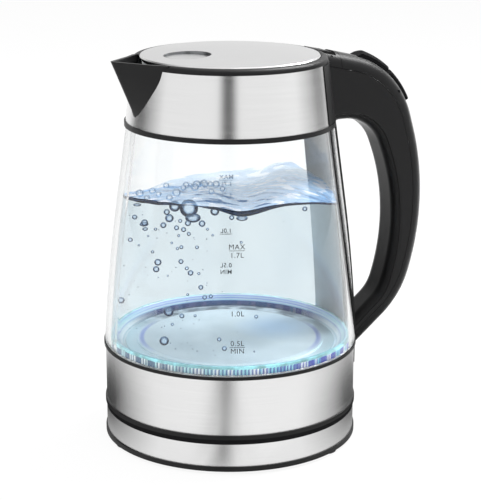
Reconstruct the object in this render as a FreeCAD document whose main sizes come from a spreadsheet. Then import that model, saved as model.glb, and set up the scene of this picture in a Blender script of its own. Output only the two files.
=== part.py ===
"""Glass electric kettle on a round power base.

Frame: +Z up, origin on the jug's axis at the surface the base stands on, handle towards +X and
spout towards -X. Millimetres.
"""
import FreeCAD, Part
import math
import os
from types import SimpleNamespace

import Sketcher
from FreeCAD import Placement, Rotation, Vector

doc = FreeCAD.newDocument("glass_kettle")
sheet = doc.addObject("Spreadsheet::Sheet", "Sizes")

# Driving sizes: name, value, what it measures
SIZES = [
    ("base_radius", 81.0, "black bottom ring of the base"),
    ("foot_height", 2.0, "rubber under the base"),
    ("foot_ring_inset", 15.0, "rubber ring's bore inside the base's edge"),
    ("foot_ring_width", 4.0, "width of the rubber ring"),
    ("foot_pad_radius", 8.0, "round pads on the rubber ring"),
    ("foot_pad_inset", 9.5, "pads' middles inside the base's edge"),
    ("base_ring_height", 3.0, "black bottom ring"),
    ("base_wrap_height", 14.4, "steel wrap of the base"),
    ("base_rim_height", 2.9, "edge of the base's top cover"),
    ("base_floor", 2.4, "floor of the base"),
    ("plastic_wall", 2.2, "walls of the base and jug covers"),
    ("steel_step", 0.8, "steel lies this far inside the black rings"),
    ("steel_sheet", 0.8, "thickness of the steel wraps"),
    ("assembly_gap", 0.4, "gap between fitted pieces"),
    ("base_dish_depth", 1.0, "dish in the base's top"),
    ("screw_inset", 25.0, "base screws inside the base's edge"),
    ("screw_radius", 1.4, "thread of every screw"),
    ("screw_head_radius", 2.8, "head of every screw"),
    ("screw_head_height", 1.6, "head of every screw"),
    ("screw_post_radius", 4.2, "posts that take the base screws"),
    ("gland_radius", 5.6, "cord gland through the base wall"),
    ("gland_bore", 3.3, "passage for the cord"),
    ("gland_flange", 1.2, "flange of the gland, beyond its barrel"),
    ("gland_depth", 12.0, "length of the gland's barrel"),
    ("post_radius", 19.6, "power post on the base"),
    ("post_rise", 12.7, "top of the power post above the base"),
    ("post_flange", 24.0, "foot of the power post"),
    ("post_bore", 4.2, "centre bore of the power post"),
    ("post_ease", 1.0, "eased edges of the power post"),
    ("slot_inner", 9.0, "contact slot in the power post"),
    ("slot_outer", 13.0, "contact slot in the power post"),
    ("slot_depth", 6.0, "contact slot in the power post"),
    ("contact_width", 1.6, "ring contacts"),
    ("socket_gap", 0.5, "play between post and socket"),
    ("socket_wall", 5.4, "wall of the socket under the jug"),
    ("socket_roof", 3.0, "roof and flange of the socket"),
    ("socket_flange", 4.5, "flange of the socket beyond its wall"),
    ("rest_gap", 0.3, "jug skirt over the base rim"),
    ("skirt_height", 2.6, "black ring under the jug"),
    ("skirt_width", 4.8, "black ring under the jug"),
    ("band_height", 35.8, "lower steel band"),
    ("trim_proud", 0.3, "black ring between band and glass, beyond the base"),
    ("trim_height", 2.0, "black ring between band and glass"),
    ("shelf_width", 2.2, "shelf that carries the light ring"),
    ("shelf_depth", 4.4, "shelf below the trim ring's top"),
    ("seal_height", 0.4, "seals at both ends of the glass"),
    ("glass_inset", 0.3, "glass at its foot inside the base's edge"),
    ("glass_bend_lean", 8.35, "glass leans in from its foot to where its wall turns straight"),
    ("glass_top_lean", 7.35, "glass leans in from there to its top"),
    ("glass_height", 140.2, "glass body"),
    ("glass_bend_height", 86.6, "height over the foot where the wall turns straight"),
    ("glass_wall", 3.6, "glass"),
    ("light_ring_height", 9.8, "clear ring over its shelf"),
    ("light_ring_wall", 2.0, "upstand of the clear ring"),
    ("light_ring_floor", 2.6, "inner flange of the clear ring"),
    ("light_flute_radius", 0.9, "flutes in the clear ring"),
    ("light_flutes", 72, "number of flutes"),
    ("plate_inset", 9.9, "heating plate's edge inside the glass"),
    ("plate_rim", 7.2, "rim of the heating plate"),
    ("plate_rise", 1.0, "raised part over the rim"),
    ("plate_sheet", 0.8, "heating plate"),
    ("plate_seal_height", 0.6, "seal under the plate's rim"),
    ("spreader_inset", 4.0, "heat spreader inside the plate's raised part"),
    ("spreader_height", 3.0, "aluminium heat spreader"),
    ("element_inset", 12.0, "heating element's bend inside the spreader's edge"),
    ("element_radius", 4.0, "heating element's tube"),
    ("element_tail", 9.0, "heating element's cold ends"),
    ("element_tail_radius", 3.2, "heating element's cold ends"),
    ("element_sweep", 300.0, "angle of the heating element's bend"),
    ("element_lap", 4.0, "angle by which the cold ends lie inside the bend"),
    ("control_radius", 29.0, "thermostat housing"),
    ("control_neck", 20.0, "thermostat housing against the spreader"),
    ("control_height", 8.0, "thermostat housing below its neck"),
    ("board_width", 9.0, "circuit board with the lamps"),
    ("board_inset", 7.2, "middle of the circuit board inside the glass"),
    ("board_sheet", 1.6, "circuit board with the lamps"),
    ("board_post_radius", 3.0, "posts that carry the board"),
    ("board_drop", 6.2, "board below the clear ring"),
    ("lamp_size", 3.5, "lamps on the board"),
    ("lamp_height", 1.6, "lamps on the board"),
    ("lamp_count", 12, "number of lamps"),
    ("collar_ring_proud", 1.2, "black ring beyond the glass top"),
    ("collar_ring_height", 3.0, "black ring round the glass top"),
    ("collar_ring_floor", 1.6, "part of that ring over the glass"),
    ("collar_proud", 0.3, "upper steel collar beyond the glass top"),
    ("collar_lean", 4.4, "upper steel collar leans in"),
    ("collar_height", 36.7, "upper steel collar"),
    ("collar_sheet", 0.7, "upper steel collar"),
    ("frame_gap", 0.3, "between collar and frame"),
    ("frame_wall", 2.4, "frame inside the collar"),
    ("rim_proud", 0.1, "black rim beyond the collar's upper edge"),
    ("rim_height", 3.7, "black rim round the lid"),
    ("rim_width", 4.5, "black rim round the lid"),
    ("rim_round", 3.4, "outer edge of the rim"),
    ("rim_lead", 0.7, "chamfers of the opening"),
    ("saddle_angle", 48.0, "half angle of the handle's saddle on the collar"),
    ("spout_reach", 18.4, "spout's tip beyond the rim"),
    ("spout_rise", 0.8, "spout's tip over the rim"),
    ("spout_depth", 34.6, "height of the spout"),
    ("spout_half_width", 24.0, "spout at the rim"),
    ("spout_nose", 2.6, "roundness of the spout's edge"),
    ("spout_wall", 1.8, "wall of the spout"),
    ("spout_flare", 0.55, "exponent of the spout's width over its height"),
    ("filter_inset", 3.3, "filter inside the rim's opening"),
    ("filter_half_width", 15.0, "filter"),
    ("filter_height", 25.0, "filter"),
    ("filter_sheet", 1.4, "filter"),
    ("filter_hole", 2.2, "holes in the filter"),
    ("filter_columns", 8, "holes across the filter"),
    ("filter_rows", 7, "holes up the filter"),
    ("filter_rail", 2.0, "rails that hold the filter"),
    ("lid_dome", 1.66, "crown of the lid"),
    ("lid_sheet", 0.8, "steel lid"),
    ("lid_flange", 1.8, "turned down edge of the lid"),
    ("lid_taper", 0.6, "edge leans in by this"),
    ("lid_sink", -0.4, "lid's edge below the rim, or over it where negative"),
    ("dimple_radius", 14.5, "finger dimple in the lid"),
    ("dimple_reach", 29.0, "finger dimple from the axis"),
    ("dimple_depth", 1.5, "finger dimple"),
    ("lid_plate_inset", 1.7, "plastic under the lid inside the lid's edge"),
    ("lid_plate", 1.8, "plastic under the lid"),
    ("lid_skirt_inset", 6.1, "skirt under the lid inside the lid's edge"),
    ("lid_skirt_height", 9.6, "skirt under the lid"),
    ("lid_skirt_wall", 2.0, "skirt under the lid"),
    ("lid_seal_width", 4.6, "seal round the skirt"),
    ("lid_seal_height", 1.6, "seal round the skirt"),
    ("lid_post_radius", 3.2, "screw posts under the lid"),
    ("lid_post_inset", 16.0, "screw posts inside that skirt"),
    ("hinge_reach", 5.5, "lid hinge beyond the rim"),
    ("hinge_drop", 5.2, "lid hinge below the rim's top"),
    ("hinge_barrel", 3.6, "barrel on the lid"),
    ("hinge_pin", 1.4, "hinge pin"),
    ("hinge_pin_seat", 1.4, "hinge pin beyond the tongue at each end"),
    ("running_gap", 0.06, "play of a pin in its bore"),
    ("tongue_half_width", 8.6, "lid's hinge tongue"),
    ("switch_pin_radius", 1.1, "power switch's pin"),
    ("handle_half_width", 12.0, "grip"),
    ("handle_wall", 2.6, "handle shells"),
    ("handle_crown", 9.2, "rounding on the outside of the grip"),
    ("handle_hollow", 6.3, "rounding on the inside of the grip"),
    ("arm_rise", 3.0, "upper arm's line over the rim at the handle's root"),
    ("handle_root_inset", 11.0, "arms' lines start inside the rim"),
    ("shoulder_reach", 38.2, "shoulder corner beyond the jug's foot"),
    ("shoulder_drop", 13.4, "shoulder corner below the rim"),
    ("shoulder_round", 60.0, "shoulder"),
    ("grip_reach", 64.2, "grip corner beyond the jug's foot"),
    ("grip_drop", 101.6, "grip corner below the rim"),
    ("grip_round", 165.0, "back of the grip"),
    ("heel_reach", 45.0, "heel corner beyond the jug's foot"),
    ("heel_rise", 15.1, "heel corner over the steel band"),
    ("heel_round", 62.0, "heel"),
    ("tail_drop", 46.7, "lower arm's line below the band's top at the root"),
    ("palm_top_drop", 2.6, "finger gap below the collar ring"),
    ("palm_root_drop", 13.0, "finger gap's line at the root below its top"),
    ("palm_root_inset", 8.5, "finger gap's inner corner inside the jug's foot"),
    ("palm_root_round", 9.0, "finger gap's inner corner"),
    ("palm_top_reach", 16.75, "finger gap's upper corner beyond the jug's foot"),
    ("palm_top_round", 28.0, "finger gap's upper corner"),
    ("palm_reach", 42.3, "finger gap's middle corner beyond the jug's foot"),
    ("palm_drop", 67.6, "finger gap's middle corner below the collar ring"),
    ("palm_round", 131.0, "finger gap's middle"),
    ("palm_foot_reach", 25.6, "finger gap's lower corner beyond the jug's foot"),
    ("palm_foot_rise", 21.7, "finger gap's lower corner over the band"),
    ("palm_foot_round", 24.0, "finger gap's lower corner"),
    ("palm_tail_drop", 27.0, "finger gap's lower line below the band's top at the root"),
    ("spine_depth", 9.5, "depth of the outer cover"),
    ("palm_cover_depth", 4.0, "depth of the inner cover"),
    ("seam", 0.3, "gap at each parting line"),
    ("hinge_cover_reach", 6.5, "hinge cover beyond the hinge"),
    ("saddle_proud", 0.5, "saddle over the steel collar"),
    ("foot_plate_angle", 15.0, "half angle of the handle's foot plate"),
    ("foot_plate_sheet", 3.6, "foot plate"),
    ("foot_plate_height", 25.0, "foot plate"),
    ("pillar_angle", 15.5, "half angle of the pillar behind the glass"),
    ("pillar_sheet", 2.2, "pillar behind the glass"),
    ("liner_sheet", 0.5, "steel liner of the pillar"),
    ("button_half_width", 5.4, "both buttons"),
    ("button_proud", 4.3, "lid button over the outer cover"),
    ("switch_proud", 3.7, "power switch over the outer cover"),
    ("button_depth", 10.0, "buttons inside the outer cover"),
    ("button_gap", 0.5, "play round the buttons"),
    ("button_edge", 0.5, "sloped edges of the buttons"),
    ("button_rounding", 2.2, "drop of the buttons' arched crown at their flanks"),
    ("lid_button_half_length", 12.8, "lid button"),
    ("lid_button_angle", 61.2, "lid button round the shoulder, from +X"),
    ("switch_half_length", 11.6, "power switch"),
    ("switch_angle", 36.4, "power switch round the shoulder, from +X"),
    ("switch_pivot_depth", 4.0, "power switch's pin below the outer cover"),
    ("switch_play", 1.3, "room for the power switch's swing"),
    ("steam_switch_size", 14.0, "switch block under the power switch"),
    ("steam_switch_gap", 3.0, "switch block below the buttons"),
    ("latch_half_width", 4.0, "latch slider"),
    ("latch_height", 3.0, "latch slider"),
    ("latch_length", 16.0, "latch slider"),
    ("latch_drop", 15.2, "latch slider below the rim"),
    ("latch_tooth", 4.0, "tooth of the latch slider"),
    ("latch_gap", 1.2, "latch slider outside the rim"),
    ("latch_travel", 3.0, "way of the latch slider"),
    ("spring_sheet", 0.6, "leaf spring behind the latch"),
    ("spring_width", 4.0, "leaf spring along the latch's way"),
    ("spring_depth", 9.0, "leaf spring downwards"),
    ("spring_half_width", 3.0, "leaf spring across the handle"),
    ("wire_radius", 1.3, "switch wires in the handle"),
    ("wire_spread", 3.2, "switch wires from the middle plane"),
    ("wire_bend", 0.6, "bends of the wires as a share of the handle's"),
    ("wire_end_gap", 2.0, "wires end this far from the foot plate"),
]


# Shares of the spout's height at which its section is drawn
SPOUT_SECTIONS = (0.0, 0.04, 0.16, 0.36, 0.64, 1.0)
# Where the spout's solid starts inside the rim, and how far its foot leans out, as shares
SPOUT_ROOT = 0.75
SPOUT_LEAN = 0.95
# Least share of the height and least edge radius that still make a section
LEAST_CLIMB = 0.004
LEAST_NOSE = 0.6
# The slopes of a button's blank run on past its crown by this factor
SLOPE_RUN_ON = 1.3
# Shares of the foot plate's height where its screws and the wires' ends sit
FOOT_SCREW_SHARES = (0.25, 0.7)
WIRE_END_SHARE = 0.6
# Directions of the first post, pad and lamp round the axis, in degrees from +X
POST_TURN = 60
PAD_TURN = 180
LAMP_TURN = 15
# Cutters and zones run this far past what they cut
BEYOND = 8.0
# Points closer than this are the same point
NEAR = 1e-3


class Size:
    """A length with its value and the sheet formula that it comes from."""

    def __init__(self, value, formula):
        self.value = float(value)
        self.formula = formula

    def __add__(self, other):
        other = as_size(other)
        return Size(self.value + other.value, f"({self.formula} + {other.formula})")

    def __sub__(self, other):
        other = as_size(other)
        return Size(self.value - other.value, f"({self.formula} - {other.formula})")

    def __mul__(self, other):
        other = as_size(other)
        return Size(self.value * other.value, f"({self.formula} * {other.formula})")

    def __truediv__(self, other):
        other = as_size(other)
        return Size(self.value / other.value, f"({self.formula} / {other.formula})")

    def __rsub__(self, other):
        return as_size(other) - self

    def __neg__(self):
        return as_size(0) - self

    __radd__ = __add__
    __rmul__ = __mul__


def as_size(number):
    return number if isinstance(number, Size) else Size(number, f"{float(number):.9f}")


for row, (alias, value, meaning) in enumerate(SIZES, start=1):
    sheet.set(f"A{row}", str(value))
    sheet.setAlias(f"A{row}", alias)
    sheet.set(f"B{row}", meaning)
doc.recompute()
D = SimpleNamespace(**{alias: Size(sheet.get(alias), f"Sizes.{alias}") for alias, _, _ in SIZES})

nodes = []


def node(label, feature):
    """Register a finished piece under the name of its file."""
    feature.Label = label
    nodes.append(feature)
    return feature


def bind(feature, name, size):
    """Tie one property of a feature to the sheet."""
    feature.setExpression(name, as_size(size).formula)


# Sketched pieces

def hold_point(sketch, geometry, end, x, y):
    """Fix one sketch point by its two distances from the origin."""
    for kind, size, axis in (("DistanceX", as_size(x), -2), ("DistanceY", as_size(y), -1)):
        if size.value == 0:
            sketch.addConstraint(Sketcher.Constraint("PointOnObject", geometry, end, axis))
            continue
        index = sketch.addConstraint(Sketcher.Constraint(kind, -1, 1, geometry, end, size.value))
        sketch.setExpression(f"Constraints[{index}]", size.formula)


def arc_between(start, end, radius):
    """Arc from start to end; a positive radius turns left on the way, a negative one right."""
    chord = end - start
    left = Vector(-chord.y, chord.x, 0).normalize()
    height = math.sqrt(radius ** 2 - (chord.Length / 2) ** 2)
    centre = start + chord * 0.5 + left * math.copysign(height, radius)
    first, last = (start, end) if radius > 0 else (end, start)
    angles = [math.atan2(p.y - centre.y, p.x - centre.x) for p in (first, last)]
    circle = Part.Circle(centre, Vector(0, 0, 1), abs(radius))
    return Part.ArcOfCircle(circle, angles[0], angles[1])


def origin_part(body, role):
    return next(f for f in body.Origin.OriginFeatures if f.Role == role)


def draw(body, plane, outline):
    """Closed sketch through corners (x, y) or (x, y, radius of the arc to the next corner)."""
    sketch = body.newObject("Sketcher::SketchObject", body.Name + "_outline")
    sketch.AttachmentSupport = (origin_part(body, plane), [""])
    sketch.MapMode = "FlatFace"
    points = [Vector(as_size(c[0]).value, as_size(c[1]).value, 0) for c in outline]
    starts, ends = [], []
    for index, corner in enumerate(outline):
        here, there = points[index], points[(index + 1) % len(points)]
        radius = as_size(corner[2]) if len(corner) > 2 else None
        if radius is None:
            geometry = sketch.addGeometry(Part.LineSegment(here, there))
            starts.append((geometry, 1))
            ends.append((geometry, 2))
            continue
        geometry = sketch.addGeometry(arc_between(here, there, radius.value))
        turn = sketch.addConstraint(Sketcher.Constraint("Radius", geometry, abs(radius.value)))
        bound = radius if radius.value > 0 else -radius
        sketch.setExpression(f"Constraints[{turn}]", bound.formula)
        starts.append((geometry, 1 if radius.value > 0 else 2))
        ends.append((geometry, 2 if radius.value > 0 else 1))
    for index, corner in enumerate(outline):
        following = starts[(index + 1) % len(starts)]
        sketch.addConstraint(Sketcher.Constraint("Coincident", *ends[index], *following))
        hold_point(sketch, *starts[index], corner[0], corner[1])
    return sketch


def turned(label, outline, sweep=360):
    """Body of revolution about Z of an outline in (x, z), centred on the outline's own side."""
    body = doc.addObject("PartDesign::Body", label)
    turn = body.newObject("PartDesign::Revolution", label + "_turn")
    turn.Profile = draw(body, "XZ_Plane", outline)
    turn.ReferenceAxis = (turn.Profile[0], ["V_Axis"])
    turn.Midplane = True
    bind(turn, "Angle", sweep)
    return body


def slab(label, outline, half_width):
    """Flat piece with an outline in (x, z), as thick either side of the middle plane."""
    body = doc.addObject("PartDesign::Body", label)
    pad = body.newObject("PartDesign::Pad", label + "_pad")
    pad.Profile = draw(body, "XZ_Plane", outline)
    pad.SideType = "Symmetric"
    bind(pad, "Length", half_width * 2)
    return body


def ring(label, inner, outer, low, high):
    """Ring of rectangular section."""
    return turned(label, [(inner, low), (outer, low), (outer, high), (inner, high)])


# Solid primitives and booleans

def place(feature, x, y, z):
    for name, size in (("x", x), ("y", y), ("z", z)):
        bind(feature, f"Placement.Base.{name}", size)
    return feature


def rod(label, radius, length, x, y, z, along="Z"):
    """Cylinder that starts at (x, y, z) and runs along an axis."""
    cylinder = doc.addObject("Part::Cylinder", label)
    turn = {"Z": Rotation(), "Y": Rotation(Vector(1, 0, 0), -90), "X": Rotation(Vector(0, 1, 0), 90)}
    cylinder.Placement = Placement(Vector(), turn[along])
    bind(cylinder, "Radius", radius)
    bind(cylinder, "Height", length)
    return place(cylinder, x, y, z)


def block(label, low, high):
    """Box between two corners."""
    cuboid = doc.addObject("Part::Box", label)
    for name, start, end in zip(("Length", "Width", "Height"), low, high):
        bind(cuboid, name, as_size(end) - start)
    return place(cuboid, *low)


def joined(label, *pieces):
    fusion = doc.addObject("Part::MultiFuse", label)
    fusion.Shapes = list(pieces)
    return fusion


def less(label, piece, *tools):
    result = doc.addObject("Part::Cut", label)
    result.Base = piece
    result.Tool = tools[0] if len(tools) == 1 else joined(label + "_tools", *tools)
    return result


def shared(label, piece, other):
    result = doc.addObject("Part::MultiCommon", label)
    result.Shapes = [piece, other]
    return result


def modelled(label, shape):
    """Piece whose shape is worked out here from the sheet's values."""
    feature = doc.addObject("Part::Feature", label)
    feature.Shape = shape
    return feature


def group(label, features):
    """Several equal solids that share one node."""
    doc.recompute()
    return modelled(label, Part.makeCompound([f.Shape.copy() for f in features]))


def spread(count, first=0):
    """Directions of a number of equal steps round the axis, as cosine and sine."""
    angles = [math.radians(first + 360 * step / count) for step in range(count)]
    return [(math.cos(angle), math.sin(angle)) for angle in angles]


# Levels from the table up
z_floor = D.foot_height
z_wrap = z_floor + D.base_ring_height
z_base_rim = z_wrap + D.base_wrap_height
z_base_top = z_base_rim + D.base_rim_height
z_skirt = z_base_top + D.rest_gap
z_band = z_skirt + D.skirt_height
z_trim = z_band + D.band_height
z_trim_top = z_trim + D.trim_height
z_glass = z_trim_top + D.seal_height
z_glass_bend = z_glass + D.glass_bend_height
z_glass_top = z_glass + D.glass_height
z_collar = z_glass_top + D.seal_height + D.collar_ring_floor
z_collar_ring = z_collar - D.collar_ring_height
z_rim = z_collar + D.collar_height
z_top = z_rim + D.rim_height
z_clear = z_top + D.base_radius

# Radii from the base's edge in and up
steel_radius = D.base_radius - D.steel_step
wall_radius = steel_radius - D.steel_sheet - D.assembly_gap
wall_bore = wall_radius - D.plastic_wall
foot_ring_bore = D.base_radius - D.foot_ring_inset
foot_pad_circle = D.base_radius - D.foot_pad_inset
screw_circle = D.base_radius - D.screw_inset
trim_radius = D.base_radius + D.trim_proud
glass_foot_radius = D.base_radius - D.glass_inset
glass_bend_radius = glass_foot_radius - D.glass_bend_lean
glass_top_radius = glass_bend_radius - D.glass_top_lean
glass_bore = glass_foot_radius - D.glass_wall
board_circle = glass_bore - D.board_inset
plate_radius = glass_bore - D.plate_inset - D.plate_rim
spreader_radius = plate_radius - D.spreader_inset
element_circle = spreader_radius - D.element_inset
collar_ring_radius = glass_top_radius + D.collar_ring_proud
collar_foot_radius = glass_top_radius + D.collar_proud
collar_top_radius = collar_foot_radius - D.collar_lean
rim_radius = collar_top_radius + D.rim_proud
rim_bore = rim_radius - D.rim_width
filter_reach = rim_bore - D.filter_inset
spout_tip = rim_radius + D.spout_reach
lid_radius = rim_bore - D.assembly_gap
lid_plate_radius = lid_radius - D.lid_plate_inset
lid_skirt_radius = lid_radius - D.lid_skirt_inset
lid_post_circle = lid_skirt_radius - D.lid_post_inset
hinge_axis = rim_radius + D.hinge_reach
hinge_cover_end = hinge_axis + D.hinge_cover_reach
handle_root = rim_radius - D.handle_root_inset


# Power base

def base_screw_places():
    return [(screw_circle * c, screw_circle * s) for c, s in spread(3)]


def make_base_covers():
    z_inside = z_floor + D.base_floor
    cup = turned("base_bottom_cup", [
        (0, z_floor), (D.base_radius, z_floor), (D.base_radius, z_wrap), (wall_radius, z_wrap),
        (wall_radius, z_base_rim - D.assembly_gap), (wall_bore, z_base_rim - D.assembly_gap),
        (wall_bore, z_inside), (0, z_inside)])
    wells = []
    for x, y in base_screw_places():
        head_room = D.screw_head_radius + D.assembly_gap
        wells.append(rod("screw_well", head_room, D.screw_head_height, x, y, z_floor))
        wells.append(rod("screw_way", D.screw_radius + D.assembly_gap, D.base_floor, x, y, z_floor))
    node("base_bottom_cover", less("base_bottom", cup, gland_way(), *wells))

    lip_bore = wall_bore - D.assembly_gap
    z_dish = z_base_top - D.base_dish_depth
    lid = turned("base_top_disc", [
        (D.post_radius + D.assembly_gap, z_base_rim), (lip_bore - D.plastic_wall, z_base_rim),
        (lip_bore - D.plastic_wall, z_base_rim - D.plastic_wall), (lip_bore, z_base_rim - D.plastic_wall),
        (lip_bore, z_base_rim), (steel_radius, z_base_rim), (steel_radius, z_base_top),
        (lip_bore, z_base_top), (lip_bore - D.plastic_wall, z_dish),
        (D.post_radius + D.assembly_gap, z_dish)])
    posts = [rod("screw_post", D.screw_post_radius, z_base_rim - z_inside, x, y, z_inside)
             for x, y in base_screw_places()]
    bore = D.screw_radius + D.running_gap
    bores = [rod("screw_bore", bore, D.base_wrap_height - D.plastic_wall, x, y, z_inside)
             for x, y in base_screw_places()]
    node("base_top_cover", less("base_top", joined("base_top_posts", lid, *posts), gland_way(), *bores))

    wrap = ring("base_wrap_ring", steel_radius - D.steel_sheet, steel_radius, z_wrap, z_base_rim)
    node("base_steel_wrap", less("base_wrap", wrap, gland_way()))

    screws = []
    for x, y in base_screw_places():
        head = rod("screw_head", D.screw_head_radius, D.screw_head_height, x, y, z_floor)
        length = D.base_wrap_height - D.screw_head_height - D.plastic_wall
        shank = rod("screw_shank", D.screw_radius, length, x, y, z_floor + D.screw_head_height)
        screws.append(joined("base_screw", head, shank))
    node("base_cover_screws", group("base_screws", screws))


def gland_height():
    return z_wrap + D.base_wrap_height / 2


def gland_way():
    """Passage for the cord gland through the back of the base."""
    start = steel_radius - D.gland_depth
    radius = D.gland_radius + D.running_gap
    return rod("gland_way", radius, D.gland_depth * 2, 0, start, gland_height(), "Y")


def make_gland():
    start = steel_radius - D.gland_depth
    barrel = rod("gland_barrel", D.gland_radius, D.gland_depth, 0, start, gland_height(), "Y")
    flange_radius = D.gland_radius + D.gland_flange
    flange = rod("gland_rim", flange_radius, D.gland_flange, 0, steel_radius, gland_height(), "Y")
    bore = rod("gland_hole", D.gland_bore, D.gland_depth * 2, 0, start, gland_height(), "Y")
    node("cord_gland", less("gland", joined("gland_solid", barrel, flange), bore))


def make_feet():
    outer = foot_ring_bore + D.foot_ring_width
    pieces = [ring("foot_band", foot_ring_bore, outer, 0, D.foot_height)]
    for c, s in spread(3, PAD_TURN):
        x, y = foot_pad_circle * c, foot_pad_circle * s
        pieces.append(rod("foot_pad", D.foot_pad_radius, D.foot_height, x, y, 0))
    node("base_foot_ring", joined("feet", *pieces))


def make_power_post():
    z_inside = z_floor + D.base_floor
    z_post = z_base_top + D.post_rise
    z_shoulder = z_post - D.contact_width * 2
    z_slot = z_shoulder - D.slot_depth
    z_flange = z_base_rim - D.plastic_wall
    node("base_coupler", turned("power_post", [
        (D.post_bore, z_inside), (D.post_flange, z_inside), (D.post_flange, z_flange),
        (D.post_radius, z_flange), (D.post_radius, z_shoulder - D.post_ease),
        (D.post_radius - D.post_ease, z_shoulder), (D.slot_outer, z_shoulder), (D.slot_outer, z_slot),
        (D.slot_inner, z_slot), (D.slot_inner, z_post - D.post_ease), (D.slot_inner - D.post_ease, z_post),
        (D.post_bore, z_post)]))
    middle = (D.slot_inner + D.slot_outer) / 2
    half = D.contact_width / 2
    low_ring = ring("low_ring", middle - half, middle + half, z_slot, z_slot + D.slot_depth / 2)
    low_pin = rod("low_pin", D.post_bore - D.running_gap, z_slot - z_inside, 0, 0, z_inside)
    node("base_coupler_contacts", group("low_contacts", [low_ring, low_pin]))

    bore = D.post_radius + D.socket_gap
    wall = bore + D.socket_wall
    z_roof = z_post + D.contact_width
    z_socket = z_base_top + D.rest_gap * 2
    node("jug_coupler", turned("socket", [
        (0, z_roof), (bore, z_roof), (bore, z_socket), (wall, z_socket), (wall, z_roof),
        (wall + D.socket_flange, z_roof), (wall + D.socket_flange, z_roof + D.socket_roof),
        (0, z_roof + D.socket_roof)]))
    z_blade = z_slot + D.slot_depth / 2 + D.socket_gap
    blade = ring("blade", middle - half, middle + half, z_blade, z_roof)
    pin = rod("high_pin", D.post_bore / 2, z_roof - z_slot - D.socket_gap, 0, 0, z_slot + D.socket_gap)
    node("jug_coupler_contacts", group("high_contacts", [blade, pin]))
    return z_roof + D.socket_roof, wall + D.socket_gap


# Lower end of the jug

def make_jug_bottom(socket_hole):
    z_under = z_skirt + D.skirt_height - D.base_floor / 2
    z_over = z_under + D.base_floor
    skirt_bore = D.base_radius - D.skirt_width
    tray = turned("jug_tray", [
        (socket_hole, z_under), (skirt_bore, z_under), (skirt_bore, z_skirt), (D.base_radius, z_skirt),
        (D.base_radius, z_band), (wall_radius, z_band), (wall_radius, z_shelf() - D.shelf_width / 2),
        (wall_bore, z_shelf() - D.shelf_width / 2), (wall_bore, z_over), (socket_hole, z_over)])
    posts = [rod("board_post", D.board_post_radius, z_board() - z_over, board_circle * c,
                 board_circle * s, z_over) for c, s in spread(3, POST_TURN)]
    node("jug_bottom_cover", less("jug_bottom", joined("jug_tray_posts", tray, *posts), *foot_screw_ways()))
    band = ring("band", steel_radius - D.steel_sheet, steel_radius, z_band, z_trim)
    node("lower_steel_band", less("band_holed", band, *foot_screw_ways()))


def foot_screws():
    """Places (y, z) of the screws that hold the handle's foot to the steel band."""
    z = z_trim - D.foot_plate_height
    return [(as_size(0), z + D.foot_plate_height * share) for share in FOOT_SCREW_SHARES]


def foot_screw_ways():
    """Passages for those screws through the wall and the band."""
    radius = D.screw_radius + D.assembly_gap
    return [rod("foot_screw_way", radius, D.base_radius, plate_radius, y, z, "X") for y, z in foot_screws()]


def z_shelf():
    return z_trim_top - D.shelf_depth


def z_board():
    return z_shelf() - D.board_drop


def make_lower_rings():
    shelf_wall = glass_bore - D.assembly_gap / 2
    z_under = z_shelf() - D.shelf_width / 2
    node("lower_trim_ring", turned("trim", [
        (shelf_wall - D.shelf_width, z_under), (wall_radius, z_under), (wall_radius, z_trim),
        (trim_radius, z_trim), (trim_radius, z_trim_top), (shelf_wall, z_trim_top),
        (shelf_wall, z_shelf()), (shelf_wall - D.shelf_width, z_shelf())]))
    node("glass_seal_lower", ring("seal_low", glass_bore + D.seal_height,
                                  glass_foot_radius - D.seal_height, z_trim_top, z_glass))

    outer = glass_bore - D.assembly_gap
    inner = plate_radius + D.plate_rim / 2
    z_flange = z_shelf() + D.light_ring_floor
    z_crest = z_shelf() + D.light_ring_height
    clear = turned("light_ring_blank", [
        (inner, z_shelf()), (outer, z_shelf()), (outer, z_crest), (outer - D.light_ring_wall, z_crest),
        (plate_radius + D.plate_rim + D.assembly_gap, z_flange), (inner, z_flange)])
    flute = clear.newObject("PartDesign::SubtractiveCylinder", "flute")
    bind(flute, "Radius", D.light_flute_radius)
    bind(flute, "Height", D.light_ring_height - D.light_ring_floor)
    for name, size in (("x", outer + D.light_flute_radius / 3), ("z", z_flange)):
        bind(flute, f"AttachmentOffset.Base.{name}", size)
    flute.AttachmentSupport = (origin_part(clear, "XY_Plane"), [""])
    flute.MapMode = "FlatFace"
    flutes = clear.newObject("PartDesign::PolarPattern", "flutes")
    flutes.Originals = [flute]
    flutes.Axis = (origin_part(clear, "Z_Axis"), [""])
    flutes.Angle = 360
    bind(flutes, "Occurrences", D.light_flutes)
    clear.Tip = flutes
    node("light_ring", clear)
    z_seal = z_flange + D.plate_seal_height
    node("plate_seal", ring("seal_plate", inner + D.seal_height, plate_radius + D.plate_rim - D.seal_height,
                            z_flange, z_seal))
    return z_seal


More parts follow.
